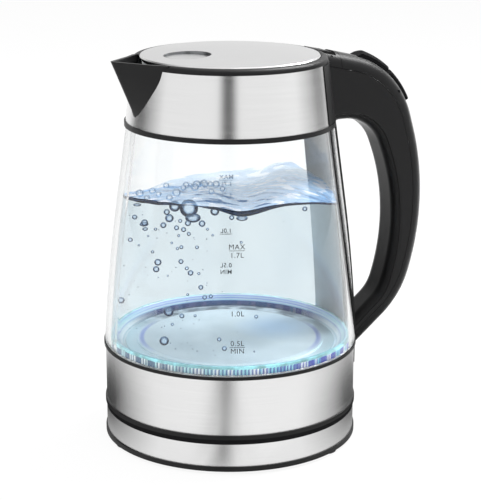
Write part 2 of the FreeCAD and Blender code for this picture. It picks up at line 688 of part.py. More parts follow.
def make_heater(z_rim_under, z_socket_top):
    z_rim_over = z_rim_under + D.plate_sheet
    z_under = z_rim_under + D.plate_rise
    reach = plate_radius + D.plate_rim
    node("heater_plate", turned("plate", [
        (0, z_under), (plate_radius - D.plate_sheet, z_under),
        (plate_radius - D.plate_sheet, z_rim_under), (reach, z_rim_under), (reach, z_rim_over),
        (plate_radius, z_rim_over),
        (plate_radius, z_under + D.plate_sheet), (0, z_under + D.plate_sheet)]))
    z_spreader = z_under - D.spreader_height
    node("heat_spreader", rod("spreader", spreader_radius, D.spreader_height, 0, 0, z_spreader))

    coil = doc.addObject("Part::Torus", "element_bend")
    bind(coil, "Radius1", element_circle)
    bind(coil, "Radius2", D.element_radius)
    bind(coil, "Angle3", D.element_sweep)
    first = 180 - D.element_sweep.value / 2
    coil.Placement = Placement(Vector(), Rotation(Vector(0, 0, 1), first))
    place(coil, 0, 0, z_spreader - D.element_radius)
    z_tail = z_spreader - D.element_radius - D.element_tail
    tail_turn = math.radians(first + D.element_lap.value)
    tails = [rod("element_end", D.element_tail_radius, D.element_tail, element_circle * math.cos(turn),
                 element_circle * math.sin(turn), z_tail) for turn in (tail_turn, -tail_turn)]
    node("heater_element", joined("element", coil, *tails))

    z_control = z_socket_top + D.assembly_gap
    node("control_unit", turned("control", [
        (0, z_control), (D.control_radius, z_control), (D.control_radius, z_control + D.control_height),
        (D.control_neck, z_control + D.control_height), (D.control_neck, z_spreader), (0, z_spreader)]))

    half = D.board_width / 2
    z_lamps = z_board() + D.board_sheet
    node("led_board", ring("board", board_circle - half, board_circle + half, z_board(), z_lamps))
    lamps = []
    size = D.lamp_size / 2
    for c, s in spread(int(D.lamp_count.value), LAMP_TURN):
        x, y = board_circle * c, board_circle * s
        low, high = (x - size, y - size, z_lamps), (x + size, y + size, z_lamps + D.lamp_height)
        lamps.append(block("lamp", low, high))
    node("leds", group("lamps", lamps))


# Glass and the pillar behind it

def glass_line(offset, low, high):
    """Corners up the outside of the glass, moved outwards: a bend below, straight above."""
    rise = D.glass_bend_height
    lean = (glass_bend_radius - glass_top_radius) / (D.glass_height - rise)
    sag = glass_foot_radius - glass_bend_radius
    chord = rise * rise + sag * sag
    turn = chord / (2 * (rise * lean - sag)) * (1 + lean * lean / 2)
    return [(glass_foot_radius + offset, low, turn), (glass_bend_radius + offset, z_glass_bend),
            (glass_top_radius + offset, high)]


def sleeve(label, inner, outer, low, high, sweep=360):
    """Shell that follows the glass between two offsets from its outside."""
    outside = glass_line(outer, low, high)
    inside = glass_line(inner, low, high)
    turn = inside[0][2]
    back = [inside[2], (inside[1][0], inside[1][1], -turn), inside[0][:2]]
    return turned(label, outside + back, sweep)


def make_glass():
    node("glass_body", sleeve("glass", -D.glass_wall, as_size(0), z_glass, z_glass_top))
    liner_out = D.assembly_gap + D.liner_sheet
    pillar_out = liner_out + D.pillar_sheet
    low, high = z_trim_top, z_collar_ring
    sweep = D.pillar_angle * 2
    node("pillar_liner", sleeve("liner", D.assembly_gap, liner_out, low, high, sweep))
    node("handle_pillar", sleeve("pillar", liner_out, pillar_out, low, high, sweep))
    return pillar_out


# Upper end of the jug

def make_collar_rings():
    bore = glass_top_radius - D.glass_wall
    z_over = z_glass_top + D.seal_height
    node("collar_lower_ring", turned("collar_ring", [
        (bore, z_over), (glass_top_radius + D.assembly_gap, z_over),
        (glass_top_radius + D.assembly_gap, z_collar_ring), (collar_ring_radius, z_collar_ring),
        (collar_ring_radius, z_collar), (bore, z_collar)]))
    node("glass_seal_upper", ring("seal_high", bore + D.seal_height, glass_top_radius - D.seal_height,
                                  z_glass_top, z_over))


def spout_solid(inset, low, high):
    """Spout's outside, or its channel: a V in plan that narrows downwards, between two levels."""
    tip, depth = spout_tip.value, D.spout_depth.value
    z_tip = z_top + D.spout_rise
    root = collar_radius(z_tip - D.spout_depth).value
    half = D.spout_half_width.value
    chord = math.sqrt(rim_radius.value ** 2 - half ** 2)
    inner = chord * SPOUT_ROOT
    top = z_tip.value
    wires = []
    for share in SPOUT_SECTIONS:
        level = low + share * (high - low)
        climb = max((level - top + depth) / depth, LEAST_CLIMB)
        reach = root + (tip - root) * climb - inset
        width = half * min(climb, 1.0) ** D.spout_flare.value
        slope = width / (root + (tip - root) * climb - chord - (1 - climb) * (root - chord) * SPOUT_LEAN)
        nose = max(D.spout_nose.value - inset, LEAST_NOSE)
        angle = math.atan(slope)
        tangent = Vector(-(reach - nose + nose * math.sin(angle)), nose * math.cos(angle), level)
        wide = tangent.y + slope * (-inner - tangent.x)
        corners = [Vector(-inner, -wide, level), Vector(tangent.x, -tangent.y, level), tangent,
                   Vector(-inner, wide, level)]
        arc = Part.Arc(corners[1], Vector(-reach, 0, level), corners[2]).toShape()
        sides = [Part.makeLine(corners[0], corners[1]), arc, Part.makeLine(corners[2], corners[3]),
                 Part.makeLine(corners[3], corners[0])]
        wires.append(Part.Wire(sides))
    span = half + D.spout_nose.value
    reach = tip + BEYOND
    sides = Part.makeBox(reach, 2 * span, high - low + 2 * BEYOND, Vector(-reach, -span, low - BEYOND))
    return Part.makeLoft(wires, True, False).common(sides)


def collar_radius(z):
    """Outside of the steel collar at a level."""
    lean = (collar_top_radius - collar_foot_radius) / D.collar_height
    return collar_foot_radius + lean * (z - z_collar)


def frame_radius(z):
    """Outside of the frame at a level on the collar."""
    return collar_radius(z) - D.collar_sheet - D.frame_gap


def make_collar_and_frame():
    z_tip = z_top + D.spout_rise
    z_spout = z_tip - D.spout_depth
    crest = [(-spout_tip, z_tip), (-rim_radius, z_top), (0, z_top), (0, z_spout), (-spout_tip, z_spout)]
    under_crest = prism([Vector(as_size(x).value, 0, z.value) for x, z in crest], D.base_radius.value)
    beak = modelled("spout_outside", spout_solid(0, z_spout.value, z_tip.value).common(under_crest))
    gap, wall = D.frame_gap.value, D.spout_wall.value
    beak_room = modelled("spout_room", spout_solid(-gap, z_spout.value - gap, z_tip.value + wall))
    channel = modelled("spout_channel", spout_solid(wall, z_spout.value + 2 * wall, z_tip.value + 2 * wall))

    sheet_in = D.collar_sheet
    collar = turned("collar_cone", [
        (-(collar_foot_radius - sheet_in), z_collar), (-collar_foot_radius, z_collar),
        (-collar_top_radius, z_rim), (-(collar_top_radius - sheet_in), z_rim)], 360 - D.saddle_angle * 2)
    node("upper_steel_collar", less("collar", collar, beak_room))

    foot, head = frame_radius(z_collar), frame_radius(z_rim)
    lead = D.rim_lead
    walls = turned("frame_walls", [
        (foot - D.frame_wall, z_collar), (foot, z_collar), (head, z_rim), (rim_radius, z_rim),
        (rim_radius, z_top - D.rim_round, D.rim_round), (rim_radius - D.rim_round, z_top),
        (rim_bore + lead, z_top), (rim_bore, z_top - lead), (rim_bore, z_rim + lead),
        (head - D.frame_wall, z_rim - lead * 2)])
    inside = turned("frame_inside", [
        (0, z_collar), (foot - D.frame_wall, z_collar), (head - D.frame_wall, z_rim - lead * 2),
        (rim_bore, z_rim + lead), (rim_bore, z_clear), (0, z_clear)])
    outer = less("frame_with_spout", joined("frame_beak", walls, beak), inside)
    opened = less("frame_open", outer, channel, tongue_way("frame_notch"), *latch_ways("frame_slot"))
    z_filter = z_collar + D.frame_wall
    rails = [block("filter_rail", (-foot, y - D.filter_rail / 2, z_filter),
                   (-filter_reach + D.filter_rail, y + D.filter_rail / 2, z_filter + D.filter_height))
             for y in (filter_rail_place(), -filter_rail_place())]
    core = turned("frame_core", [(0, z_collar), (foot, z_collar), (head, z_rim), (0, z_rim)])
    rail_pieces = [shared("filter_rail_trimmed", rail, core) for rail in rails]
    node("top_frame", joined("frame", opened, *rail_pieces))

    panel = block("filter_panel", (-filter_reach - D.filter_sheet, -D.filter_half_width, z_filter),
                  (-filter_reach, D.filter_half_width, z_filter + D.filter_height))
    across = D.filter_half_width * 2 / (D.filter_columns + 1)
    upward = D.filter_height / (D.filter_rows + 1)
    half = D.filter_hole / 2
    holes = []
    for column in range(1, int(D.filter_columns.value) + 1):
        for row in range(1, int(D.filter_rows.value) + 1):
            y = across * column - D.filter_half_width
            z = z_filter + upward * row
            holes.append(block("filter_mesh", (-filter_reach - D.filter_sheet * 2, y - half, z - half),
                               (-filter_reach + D.filter_sheet, y + half, z + half)))
    node("spout_filter", less("filter", panel, *holes))


def filter_rail_place():
    return D.filter_half_width + D.filter_rail / 2 + D.assembly_gap / 2


def tongue_way(label):
    """Notch in the rim and the saddle for the lid's hinge tongue."""
    half = D.tongue_half_width + D.assembly_gap
    return block(label, (lid_skirt_radius, -half, hinge_level() - D.hinge_barrel - D.assembly_gap),
                 (hinge_axis + D.hinge_barrel + D.assembly_gap, half, z_top + D.hinge_barrel))


def latch_ways(label):
    """Slots for the latch slider and its tooth through the frame and the saddle, with their travel."""
    gap = D.assembly_gap
    half, tooth_half = D.latch_half_width + gap, D.latch_half_width / 2 + gap
    far = latch_start() + D.latch_travel + gap
    z_bar = z_latch() + D.latch_height + gap
    bar = block(label, (lid_skirt_radius, -half, z_latch() - gap), (far + D.latch_length, half, z_bar))
    tooth = block(label + "_tooth", (lid_skirt_radius, -tooth_half, z_latch()),
                  (far + D.latch_tooth, tooth_half, z_bar + D.latch_tooth))
    return bar, tooth


def latch_start():
    return rim_radius + D.latch_gap


def z_latch():
    return z_top - D.latch_drop - D.latch_height


def hinge_level():
    return z_top - D.hinge_drop


# Lid

def dome_radius(span, rise):
    """Radius of a dome from its half width and its height."""
    return (span * span + rise * rise) / (2 * rise)


def make_lid():
    z_edge = z_top - D.lid_sink
    sheet_in = D.lid_sheet
    span = lid_radius - D.lid_taper
    span_in = span - sheet_in
    crown = dome_radius(span, D.lid_dome)
    z_hem = z_edge - D.lid_flange
    z_crown = z_edge + D.lid_dome
    skin = turned("lid_skin", [
        (0, z_crown - sheet_in, -dome_radius(span_in, D.lid_dome)), (span_in, z_edge - sheet_in),
        (span_in, z_hem), (span, z_hem), (lid_radius, z_edge - sheet_in), (span, z_edge, crown),
        (0, z_crown)])
    under_dome = turned("lid_under_dome", [
        (0, z_hem), (span, z_hem), (span, z_edge, crown), (0, z_crown)])
    z_dimple = z_crown - D.lid_dome * D.dimple_reach * D.dimple_reach / (span * span) - D.dimple_depth
    well = rod("dimple_well", D.dimple_radius, D.dimple_radius, -D.dimple_reach, 0, z_dimple)
    cup_radius = D.dimple_radius + sheet_in
    cup = rod("dimple_cup", cup_radius, cup_radius, -D.dimple_reach, 0, z_dimple - sheet_in)
    pressed = joined("lid_pressed", skin, shared("dimple_cup_trimmed", cup, under_dome))
    node("lid_cover", less("lid_dimpled", pressed, well))

    z_plate = z_hem - D.lid_plate
    z_skirt_foot = z_plate - D.lid_skirt_height
    inner = lid_skirt_radius - D.lid_skirt_wall
    plate = turned("lid_plate_turned", [
        (0, z_plate), (inner, z_plate), (inner, z_skirt_foot), (lid_skirt_radius, z_skirt_foot),
        (lid_skirt_radius, z_plate), (lid_plate_radius, z_plate), (lid_plate_radius, z_hem),
        (0, z_hem)])
    places = [(lid_post_circle * c, lid_post_circle * s) for c, s in spread(3, POST_TURN)]
    posts = [rod("lid_post", D.lid_post_radius, D.lid_skirt_height, x, y, z_skirt_foot) for x, y in places]
    rim_in = rim_bore + D.assembly_gap
    tongue = slab("lid_tongue", [
        (inner, z_plate - D.hinge_pin), (hinge_axis, hinge_level() - D.hinge_barrel),
        (hinge_axis, hinge_level() + D.hinge_barrel), (rim_in, z_edge), (rim_in, z_hem), (inner, z_hem)],
        D.tongue_half_width)
    width = D.tongue_half_width * 2
    barrel = rod("lid_barrel", D.hinge_barrel, width, hinge_axis, -D.tongue_half_width, hinge_level(), "Y")
    bore = rod("lid_barrel_bore", D.hinge_pin + D.running_gap, width, hinge_axis, -D.tongue_half_width,
               hinge_level(), "Y")
    thread = D.screw_radius + D.running_gap
    screw_ways = [rod("lid_bore", thread, D.lid_skirt_height, x, y, z_skirt_foot) for x, y in places]
    frame = joined("lid_frame_solid", plate, tongue, barrel, *posts)
    node("lid_frame", less("lid_frame_bored", frame, bore, *screw_ways))

    z_liner = z_skirt_foot - D.plate_sheet
    liner = rod("lid_liner", lid_skirt_radius, D.plate_sheet, 0, 0, z_liner)
    ways = [rod("liner_way", thread, D.plate_sheet, x, y, z_liner) for x, y in places]
    node("lid_inner_plate", less("lid_liner_holed", liner, *ways))
    screws = []
    for x, y in places:
        z_head = z_liner - D.screw_head_height
        head = rod("lid_screw_head", D.screw_head_radius, D.screw_head_height, x, y, z_head)
        shank = rod("lid_screw_shank", D.screw_radius, D.lid_skirt_height, x, y, z_liner)
        screws.append(joined("lid_screw", head, shank))
    node("lid_screws", group("lid_screw_set", screws))

    seal = ring("lid_seal_ring", lid_skirt_radius, lid_skirt_radius + D.lid_seal_width,
                z_plate - D.lid_seal_height, z_plate)
    notch_half = D.tongue_half_width + D.assembly_gap
    notch = block("lid_seal_notch", (0, -notch_half, z_plate - D.lid_seal_height * 2),
                  (D.base_radius, notch_half, z_plate + D.lid_seal_height))
    node("lid_seal", less("lid_seal_cut", seal, notch))

    node("lid_hinge_pin", hinge_pin("hinge_pin_rod", D.hinge_pin))


def hinge_pin(label, radius):
    """The lid's hinge pin, or its bore through the hinge cover."""
    half = D.tongue_half_width + D.hinge_pin_seat
    return rod(label, radius, half * 2, hinge_axis, -half, hinge_level(), "Y")


# Handle: outlines in the middle plane

def handle_lines():
    """Corner chains (x, z, rounding) of the handle's outside and of its finger gap, top to bottom."""
    reach = D.base_radius
    root = handle_root
    outside = [
        (root, z_top + D.arm_rise, 0),
        (reach + D.shoulder_reach, z_top - D.shoulder_drop, D.shoulder_round),
        (reach + D.grip_reach, z_top - D.grip_drop, D.grip_round),
        (reach + D.heel_reach, z_trim + D.heel_rise, D.heel_round),
        (root, z_trim - D.tail_drop, 0)]
    z_palm = z_collar_ring - D.palm_top_drop
    palm = [
        (root, z_palm - D.palm_root_drop, 0),
        (reach - D.palm_root_inset, z_palm, D.palm_root_round),
        (reach + D.palm_top_reach, z_palm, D.palm_top_round),
        (reach + D.palm_reach, z_collar_ring - D.palm_drop, D.palm_round),
        (reach + D.palm_foot_reach, z_trim + D.palm_foot_rise, D.palm_foot_round),
        (root, z_trim - D.palm_tail_drop, 0)]
    plain = [[tuple(as_size(v).value for v in corner) for corner in chain] for chain in (outside, palm)]
    return [fitted(chain) for chain in plain]


def half_turn(before, here, after):
    """Half the angle by which a chain turns at a corner."""
    return (math.pi - (before - here).getAngle(after - here)) / 2


def fitted(chain):
    """The chain with each rounding limited by the room on its two sides."""
    points = [Vector(x, 0, z) for x, z, _ in chain]
    lengths = [(b - a).Length for a, b in zip(points, points[1:])]
    turns = [0] + [half_turn(*three) for three in zip(points, points[1:], points[2:])] + [0]
    reaches = [radius * math.tan(turn) for (_, _, radius), turn in zip(chain, turns)]
    rooms = [1] + [min(1, length / (a + b)) for length, a, b in zip(lengths, reaches, reaches[1:])] + [1]
    shares = [min(pair) for pair in zip(rooms, rooms[1:])]
    return [(x, z, radius * share) for (x, z, radius), share in zip(chain, shares)]


def moved(chain, inset):
    """The chain moved to its right by an inset, with roundings that stay concentric."""
    points = [Vector(x, 0, z) for x, z, _ in chain]
    sides = [(b - a).normalize() for a, b in zip(points, points[1:])]
    rights = [Vector(-side.z, 0, side.x) * -1 for side in sides]
    result = []
    for index, (x, z, radius) in enumerate(chain):
        near = [rights[i] for i in (index - 1, index) if 0 <= i < len(rights)]
        shift = near[0] if len(near) == 1 else (near[0] + near[1]) * (1 / (1 + near[0].dot(near[1])))
        turn = 0 if not radius else radius - inset
        result.append((x + shift.x * inset, z + shift.z * inset, turn))
    return result


def rounded(chain):
    """Edges along a chain, each rounded corner as a tangent arc."""
    edges = []
    points = [Vector(x, 0, z) for x, z, _ in chain]
    start = points[0]
    for before, here, after, (_, _, radius) in zip(points, points[1:], points[2:], chain[1:]):
        back = (before - here).normalize()
        ahead = (after - here).normalize()
        turn = half_turn(before, here, after)
        reach = radius * math.tan(turn)
        middle = here + (back + ahead).normalize() * (radius / math.cos(turn) - radius)
        edges.append(Part.makeLine(start, here + back * reach))
        edges.append(Part.Arc(here + back * reach, middle, here + ahead * reach).toShape())
        start = here + ahead * reach
    edges.append(Part.makeLine(start, points[-1]))
    return edges


def between(first, second, half_width):
    """Slab between two chains that run the same way, and the edges of each chain."""
    one, two = rounded(first), rounded(second)
    ends = [Part.makeLine(one[-1].Vertexes[-1].Point, two[-1].Vertexes[-1].Point),
            Part.makeLine(two[0].Vertexes[0].Point, one[0].Vertexes[0].Point)]
    wire = Part.Wire(Part.__sortEdges__(one + two + ends))
    face = Part.Face(wire)
    face.translate(Vector(0, -half_width, 0))
    return face.extrude(Vector(0, 2 * half_width, 0)), one, two


def along(solid, edges):
    """The solid's side edges that follow a chain's edges."""
    middles = [e.valueAt((e.FirstParameter + e.LastParameter) / 2) for e in edges]
    found = []
    for edge in solid.Edges:
        middle = edge.valueAt((edge.FirstParameter + edge.LastParameter) / 2)
        follows = any(math.hypot(middle.x - m.x, middle.z - m.z) < NEAR for m in middles)
        if follows and abs(middle.y) > NEAR:
            found.append(edge)
    return found


def handle_bar(inset):
    """The whole handle as one rounded bar, or its hollow with an inset."""
    outside, palm = handle_lines()
    half = D.handle_half_width.value - inset
    bar, crown, hollow = between(moved(outside, inset), moved(palm, -inset), half)
    bar = bar.makeFillet(D.handle_crown.value - inset, along(bar, crown))
    return bar.makeFillet(D.handle_hollow.value - inset, along(bar, hollow))


def shoulder_radius():
    outside, _ = handle_lines()
    return outside[1][2]


def shoulder_centre():
    """Centre of the shoulder's arc, where the buttons sit."""
    outside, _ = handle_lines()
    before, here, after = [Vector(x, 0, z) for x, z, _ in outside[:3]]
    inward = ((before - here).normalize() + (after - here).normalize()).normalize()
    return here + inward * (shoulder_radius() / math.cos(half_turn(before, here, after)))


def shoulder_point(angle, across, outward):
    """Point in a button's own axes: across the button (down the handle) and outward from the centre."""
    turn = math.radians(angle)
    out = Vector(math.cos(turn), 0, math.sin(turn))
    down = Vector(math.sin(turn), 0, -math.cos(turn))
    return shoulder_centre() + down * across + out * outward


def prism(points, half_width):
    """Straight-sided slab through points in the middle plane."""
    face = Part.Face(Part.makePolygon(points + points[:1]))
    face.translate(Vector(0, -half_width, 0))
    return face.extrude(Vector(0, 2 * half_width, 0))


def button_solid(angle, half_length, proud, nose):
    """Button in the shoulder: flanks that narrow inwards and a crown that follows the shoulder."""
    radius = shoulder_radius()
    crown = radius + proud
    foot = radius - D.button_depth.value
    half = D.button_half_width.value
    edge = D.button_edge.value
    face_level = math.sqrt(radius ** 2 - half_length ** 2)
    high = math.sqrt(crown ** 2 - (half_length - nose) ** 2)
    low = math.sqrt(crown ** 2 - (half_length - edge) ** 2)
    foot_half = half_length * foot / radius - D.button_gap.value
    nose_top = face_level + (high - face_level) * SLOPE_RUN_ON
    places = [(-foot_half, foot), (-half_length, face_level), (nose * SLOPE_RUN_ON - half_length, nose_top),
              (0, crown + edge), (half_length - 2 * edge, low + edge), (half_length, low - edge),
              (foot_half, foot)]
    blank = prism([shoulder_point(angle, across, outward) for across, outward in places], half)
    return blank.common(crown_ring(foot, crown, half))


def crown_ring(foot, crown, half):
    """Ring round the shoulder with an outside that arches across the handle, wider than the buttons."""
    centre = shoulder_centre()
    drop = D.button_rounding.value
    arch_radius = (half ** 2 + drop ** 2) / (2 * drop)
    wide = (half + arch_radius) / 2
    flank = crown - arch_radius + math.sqrt(arch_radius ** 2 - wide ** 2)
    low = foot - D.button_gap.value
    low_near, low_far, near, far = [centre + Vector(-out, across, 0) for out, across in
                                    ((low, -wide), (low, wide), (flank, -wide), (flank, wide))]
    arch = Part.Arc(near, centre + Vector(-crown, 0, 0), far).toShape()
    sides = [Part.makeLine(low_near, near), arch, Part.makeLine(far, low_far),
             Part.makeLine(low_far, low_near)]
    return Part.Face(Part.Wire(sides)).revolve(centre, Vector(0, 1, 0), 360)


def jug_room(label, pillar_out, foot, collar_foot, collar_head):
    """All that lies behind the handle, out to a radius at its foot and two along the collar."""
    trim, ring_out = trim_radius + D.assembly_gap, collar_ring_radius + D.assembly_gap
    bend = glass_line(pillar_out + D.seam, z_trim_top, z_collar_ring)
    return turned(label, [
        (0, 0), (foot, 0), (foot, z_trim - D.seam), (trim, z_trim - D.seam), (trim, z_trim_top),
        bend[0], bend[1], bend[2], (ring_out, z_collar_ring), (ring_out, z_collar + D.seam),
        (collar_foot, z_collar + D.seam), (collar_head, z_rim - D.seam),
        (rim_radius + D.seam, z_rim - D.seam), (rim_radius + D.seam, z_clear), (0, z_clear)])


def make_handle(pillar_out):
    outside, palm = handle_lines()
    half = D.handle_half_width.value + BEYOND
    seam = D.seam.value
    hull = handle_bar(0).cut(handle_bar(D.handle_wall.value))
    spine_zone, _, _ = between(moved(outside, -BEYOND), moved(outside, D.spine_depth.value), half)
    spine_room, _, _ = between(moved(outside, -BEYOND), moved(outside, D.spine_depth.value + seam), half)
    depth = D.palm_cover_depth.value
    palm_zone, _, _ = between(moved(palm, -depth), moved(palm, depth), half)
    palm_room, _, _ = between(moved(palm, -depth - seam), moved(palm, depth), half)

    foot_in, foot_out = steel_radius + D.seam, steel_radius + D.foot_plate_sheet
    collar_in = [frame_radius(z) + D.seam for z in (z_collar, z_rim)]
    collar_out = [radius + D.saddle_proud for radius in (collar_foot_radius, collar_top_radius)]
    shell_limit = jug_room("shell_limit", pillar_out, foot_in, *collar_in)
    cover_limit = jug_room("cover_limit", pillar_out, foot_out + D.seam, *[r + D.seam for r in collar_out])
    fore = block("hinge_cover_zone", (0, -D.base_radius, z_collar), (hinge_cover_end, D.base_radius, z_clear))
    fore_room = block("hinge_cover_room", (0, -D.base_radius, z_collar),
                      (hinge_cover_end + D.seam, D.base_radius, z_clear))
    spine = modelled("spine_part", hull.common(spine_zone))
    buttons = modelled("button_room", button_room())
    pin_way = switch_pin("switch_pin_way", D.switch_pin_radius + D.running_gap)
    node("handle_spine_cover", less("spine_cover", spine, fore_room, buttons, pin_way, cover_limit))
    hinge_way = hinge_pin("hinge_pin_way", D.hinge_pin + D.running_gap)
    node("hinge_cover", less("hinge_cover_cut", shared("hinge_cover_part", spine, fore), cover_limit,
                             tongue_way("hinge_cover_slot"), hinge_way))
    inner = modelled("palm_part", hull.common(palm_zone))
    node("handle_inner_cover", less("palm_cover", inner, cover_limit))

    core = modelled("shell_part", hull.cut(spine_room).cut(palm_room))
    z_saddle, z_saddle_top = z_collar + D.seam, z_rim - D.seam
    saddle = turned("saddle", [
        (collar_in[0], z_saddle), (collar_out[0], z_saddle), (collar_out[1], z_saddle_top),
        (collar_in[1], z_saddle_top)], D.saddle_angle * 2)
    z_plate, z_plate_top = z_trim - D.foot_plate_height, z_trim - D.seam
    foot = turned("foot_plate", [
        (foot_in, z_plate), (foot_out, z_plate + D.foot_plate_sheet), (foot_out, z_plate_top),
        (foot_in, z_plate_top)], D.foot_plate_angle * 2)
    shell = joined("shell_joined", less("shell_trimmed", core, shell_limit), saddle, foot)
    bores = [rod("foot_bore", D.screw_radius + D.running_gap, D.foot_plate_sheet, steel_radius, y, z, "X")
             for y, z in foot_screws()]
    node("handle_shell", less("shell", shell, tongue_way("saddle_notch"), *latch_ways("saddle_slot"), *bores))
    screws = []
    seat = wall_bore - D.running_gap
    for y, z in foot_screws():
        head_height = D.screw_head_height
        head = rod("foot_screw_head", D.screw_head_radius, head_height, seat - head_height, y, z, "X")
        shank = rod("foot_screw_shank", D.screw_radius, foot_out - seat, seat, y, z, "X")
        screws.append(joined("foot_screw", head, shank))
    node("handle_screws", group("foot_screw_set", screws))


def button_room():
    """Opening in the outer cover for both buttons, with their play."""
    gap = D.button_gap.value
    half = D.button_half_width.value + gap
    deep = shoulder_radius() - D.button_depth.value - D.switch_play.value
    tall = shoulder_radius() + D.button_proud.value + BEYOND
    first, second = D.lid_button_angle.value, D.switch_angle.value
    lead = D.lid_button_half_length.value + gap
    tail = D.switch_half_length.value + D.switch_play.value
    return prism([shoulder_point(first, -lead, deep), shoulder_point(first, -lead, tall),
                  shoulder_point(second, tail, tall), shoulder_point(second, tail, deep)], half)


def switch_pin(label, radius):
    pivot = shoulder_point(D.switch_angle.value, 0, shoulder_radius() - D.switch_pivot_depth.value)
    half = D.handle_half_width.value - D.handle_wall.value / 2
    pin = Part.makeCylinder(as_size(radius).value, 2 * half, Vector(pivot.x, -half, pivot.z), Vector(0, 1, 0))
    return modelled(label, pin)


def make_controls():
    proud, edge = D.button_proud.value, D.button_edge.value
    lid_button = button_solid(D.lid_button_angle.value, D.lid_button_half_length.value, proud, proud)
    node("lid_button", modelled("lid_button_solid", lid_button))
    switch = button_solid(D.switch_angle.value, D.switch_half_length.value, D.switch_proud.value, edge)
    bore = switch_pin("switch_bore", D.switch_pin_radius + D.running_gap)
    node("power_switch", less("power_switch_bored", modelled("power_switch_solid", switch), bore))
    node("power_switch_pin", switch_pin("switch_pin_rod", D.switch_pin_radius))

    half = D.steam_switch_size.value / 2
    middle = steam_switch_middle()
    corners = [shoulder_point(D.switch_angle.value, across, middle + outward)
               for across, outward in ((-half, -half), (-half, half), (half, half), (half, -half))]
    hollow_half = (D.handle_half_width - D.handle_wall - D.seam).value
    node("steam_switch", modelled("steam_switch_block", prism(corners, hollow_half)))

    start = latch_start()
    bar = block("latch_bar", (start, -D.latch_half_width, z_latch()),
                (start + D.latch_length, D.latch_half_width, z_latch() + D.latch_height))
    tooth = block("latch_hook", (start, -D.latch_half_width / 2, z_latch()),
                  (start + D.latch_tooth, D.latch_half_width / 2, z_latch() + D.latch_height + D.latch_tooth))
    node("latch_slider", joined("latch", bar, tooth))
    node("latch_spring", slab("spring_leaf", spring_outline(start + D.latch_length), D.spring_half_width))
    wires = [switch_wire(side * D.wire_spread.value) for side in (-1, 1)]
    node("switch_wires", modelled("wire_pair", Part.makeCompound(wires)))


def steam_switch_middle():
    """Middle of the switch block, from the shoulder's centre."""
    return shoulder_radius() - (D.button_depth + D.steam_switch_gap + D.steam_switch_size / 2).value


def spring_outline(x):
    """U of spring leaf that starts behind the latch slider and pushes it towards the lid."""
    sheet_of, deep = D.spring_sheet, D.spring_depth
    far = x + D.spring_width
    high = z_latch() + D.latch_height
    return [(x, high), (x + sheet_of, high), (x + sheet_of, high - deep), (far - sheet_of, high - deep),
            (far - sheet_of, high), (far, high), (far, high - deep - sheet_of), (x, high - deep - sheet_of)]


def switch_wire(side):
    """One lead along the middle of the hollow handle, from the switch to the foot."""
    outside, palm = handle_lines()
    bend = D.wire_bend.value
    grip, heel = [((a[0] + b[0]) / 2, (a[1] + b[1]) / 2, (a[2] + b[2]) / 2 * bend)
                  for a, b in zip(outside[2:4], palm[3:5])]
    across = D.steam_switch_size.value / 2 + D.seam.value
    head = shoulder_point(D.switch_angle.value, across, steam_switch_middle())
    end_x = (steel_radius + D.foot_plate_sheet + D.wire_end_gap).value
    end_z = (z_trim - D.foot_plate_height * (1 - WIRE_END_SHARE)).value
    path = Part.Wire(rounded([(head.x, head.z, 0), grip, heel, (end_x, end_z, 0)]))
    path.translate(Vector(0, side, 0))
    start = path.Edges[0]
    circle = Part.makeCircle(D.wire_radius.value, start.valueAt(start.FirstParameter),
                             start.tangentAt(start.FirstParameter))
    return path.makePipeShell([Part.Wire(circle)], True, True)


make_base_covers()
make_gland()
make_feet()
socket_top, socket_hole = make_power_post()
make_jug_bottom(socket_hole)
plate_seat = make_lower_rings()
make_heater(plate_seat, socket_top)
pillar_face = make_glass()
make_collar_rings()
make_collar_and_frame()
make_lid()
make_handle(pillar_face)
make_controls()
doc.recompute()

# Check every object, then write each piece
for item in doc.Objects:
    if "Invalid" in item.State or "Error" in item.State:
        raise RuntimeError(f"{item.Label}: {item.State}")
os.makedirs("parts", exist_ok=True)
for piece in nodes:
    if piece.Shape.isNull() or not piece.Shape.isValid() or not piece.Shape.Solids:
        raise RuntimeError(f"{piece.Label} has no valid solid")
    box = piece.Shape.optimalBoundingBox()
    spans = [f"{low:.1f}..{high:.1f}" for low, high in
             ((box.XMin, box.XMax), (box.YMin, box.YMax), (box.ZMin, box.ZMax))]
    print(f"{piece.Label}: solids {len(piece.Shape.Solids)}, volume {piece.Shape.Volume:.0f}, at {spans}")
for piece in nodes:
    piece.Shape.exportStep(f"parts/{piece.Label}.step")
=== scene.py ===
"""Dresses the glass kettle: finishes for its pieces, water, bubbles, level marks, light ring and studio.

Metres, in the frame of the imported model: +Z up, handle towards +X, spout towards -X.
"""
import math
import random

import bmesh
import bpy
from bpy.props import FloatProperty, FloatVectorProperty, IntProperty, PointerProperty
from mathutils import Matrix, Vector


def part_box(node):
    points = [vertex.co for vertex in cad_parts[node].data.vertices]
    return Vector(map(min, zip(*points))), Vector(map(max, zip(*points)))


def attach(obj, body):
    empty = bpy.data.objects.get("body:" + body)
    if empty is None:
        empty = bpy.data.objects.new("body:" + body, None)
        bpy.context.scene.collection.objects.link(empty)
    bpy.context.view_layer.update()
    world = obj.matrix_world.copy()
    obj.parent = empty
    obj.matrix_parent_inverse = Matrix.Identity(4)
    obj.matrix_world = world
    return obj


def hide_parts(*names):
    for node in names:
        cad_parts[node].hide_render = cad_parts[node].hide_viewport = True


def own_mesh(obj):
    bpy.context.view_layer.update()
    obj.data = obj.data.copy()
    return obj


bl_info = {
    "name": "Glass Kettle Dresser",
    "version": (1, 0, 0),
    "blender": (4, 5, 0),
    "location": "3D View > Sidebar > Kettle",
    "description": "Finishes, water and studio for a glass kettle on a power base",
    "category": "Object",
}

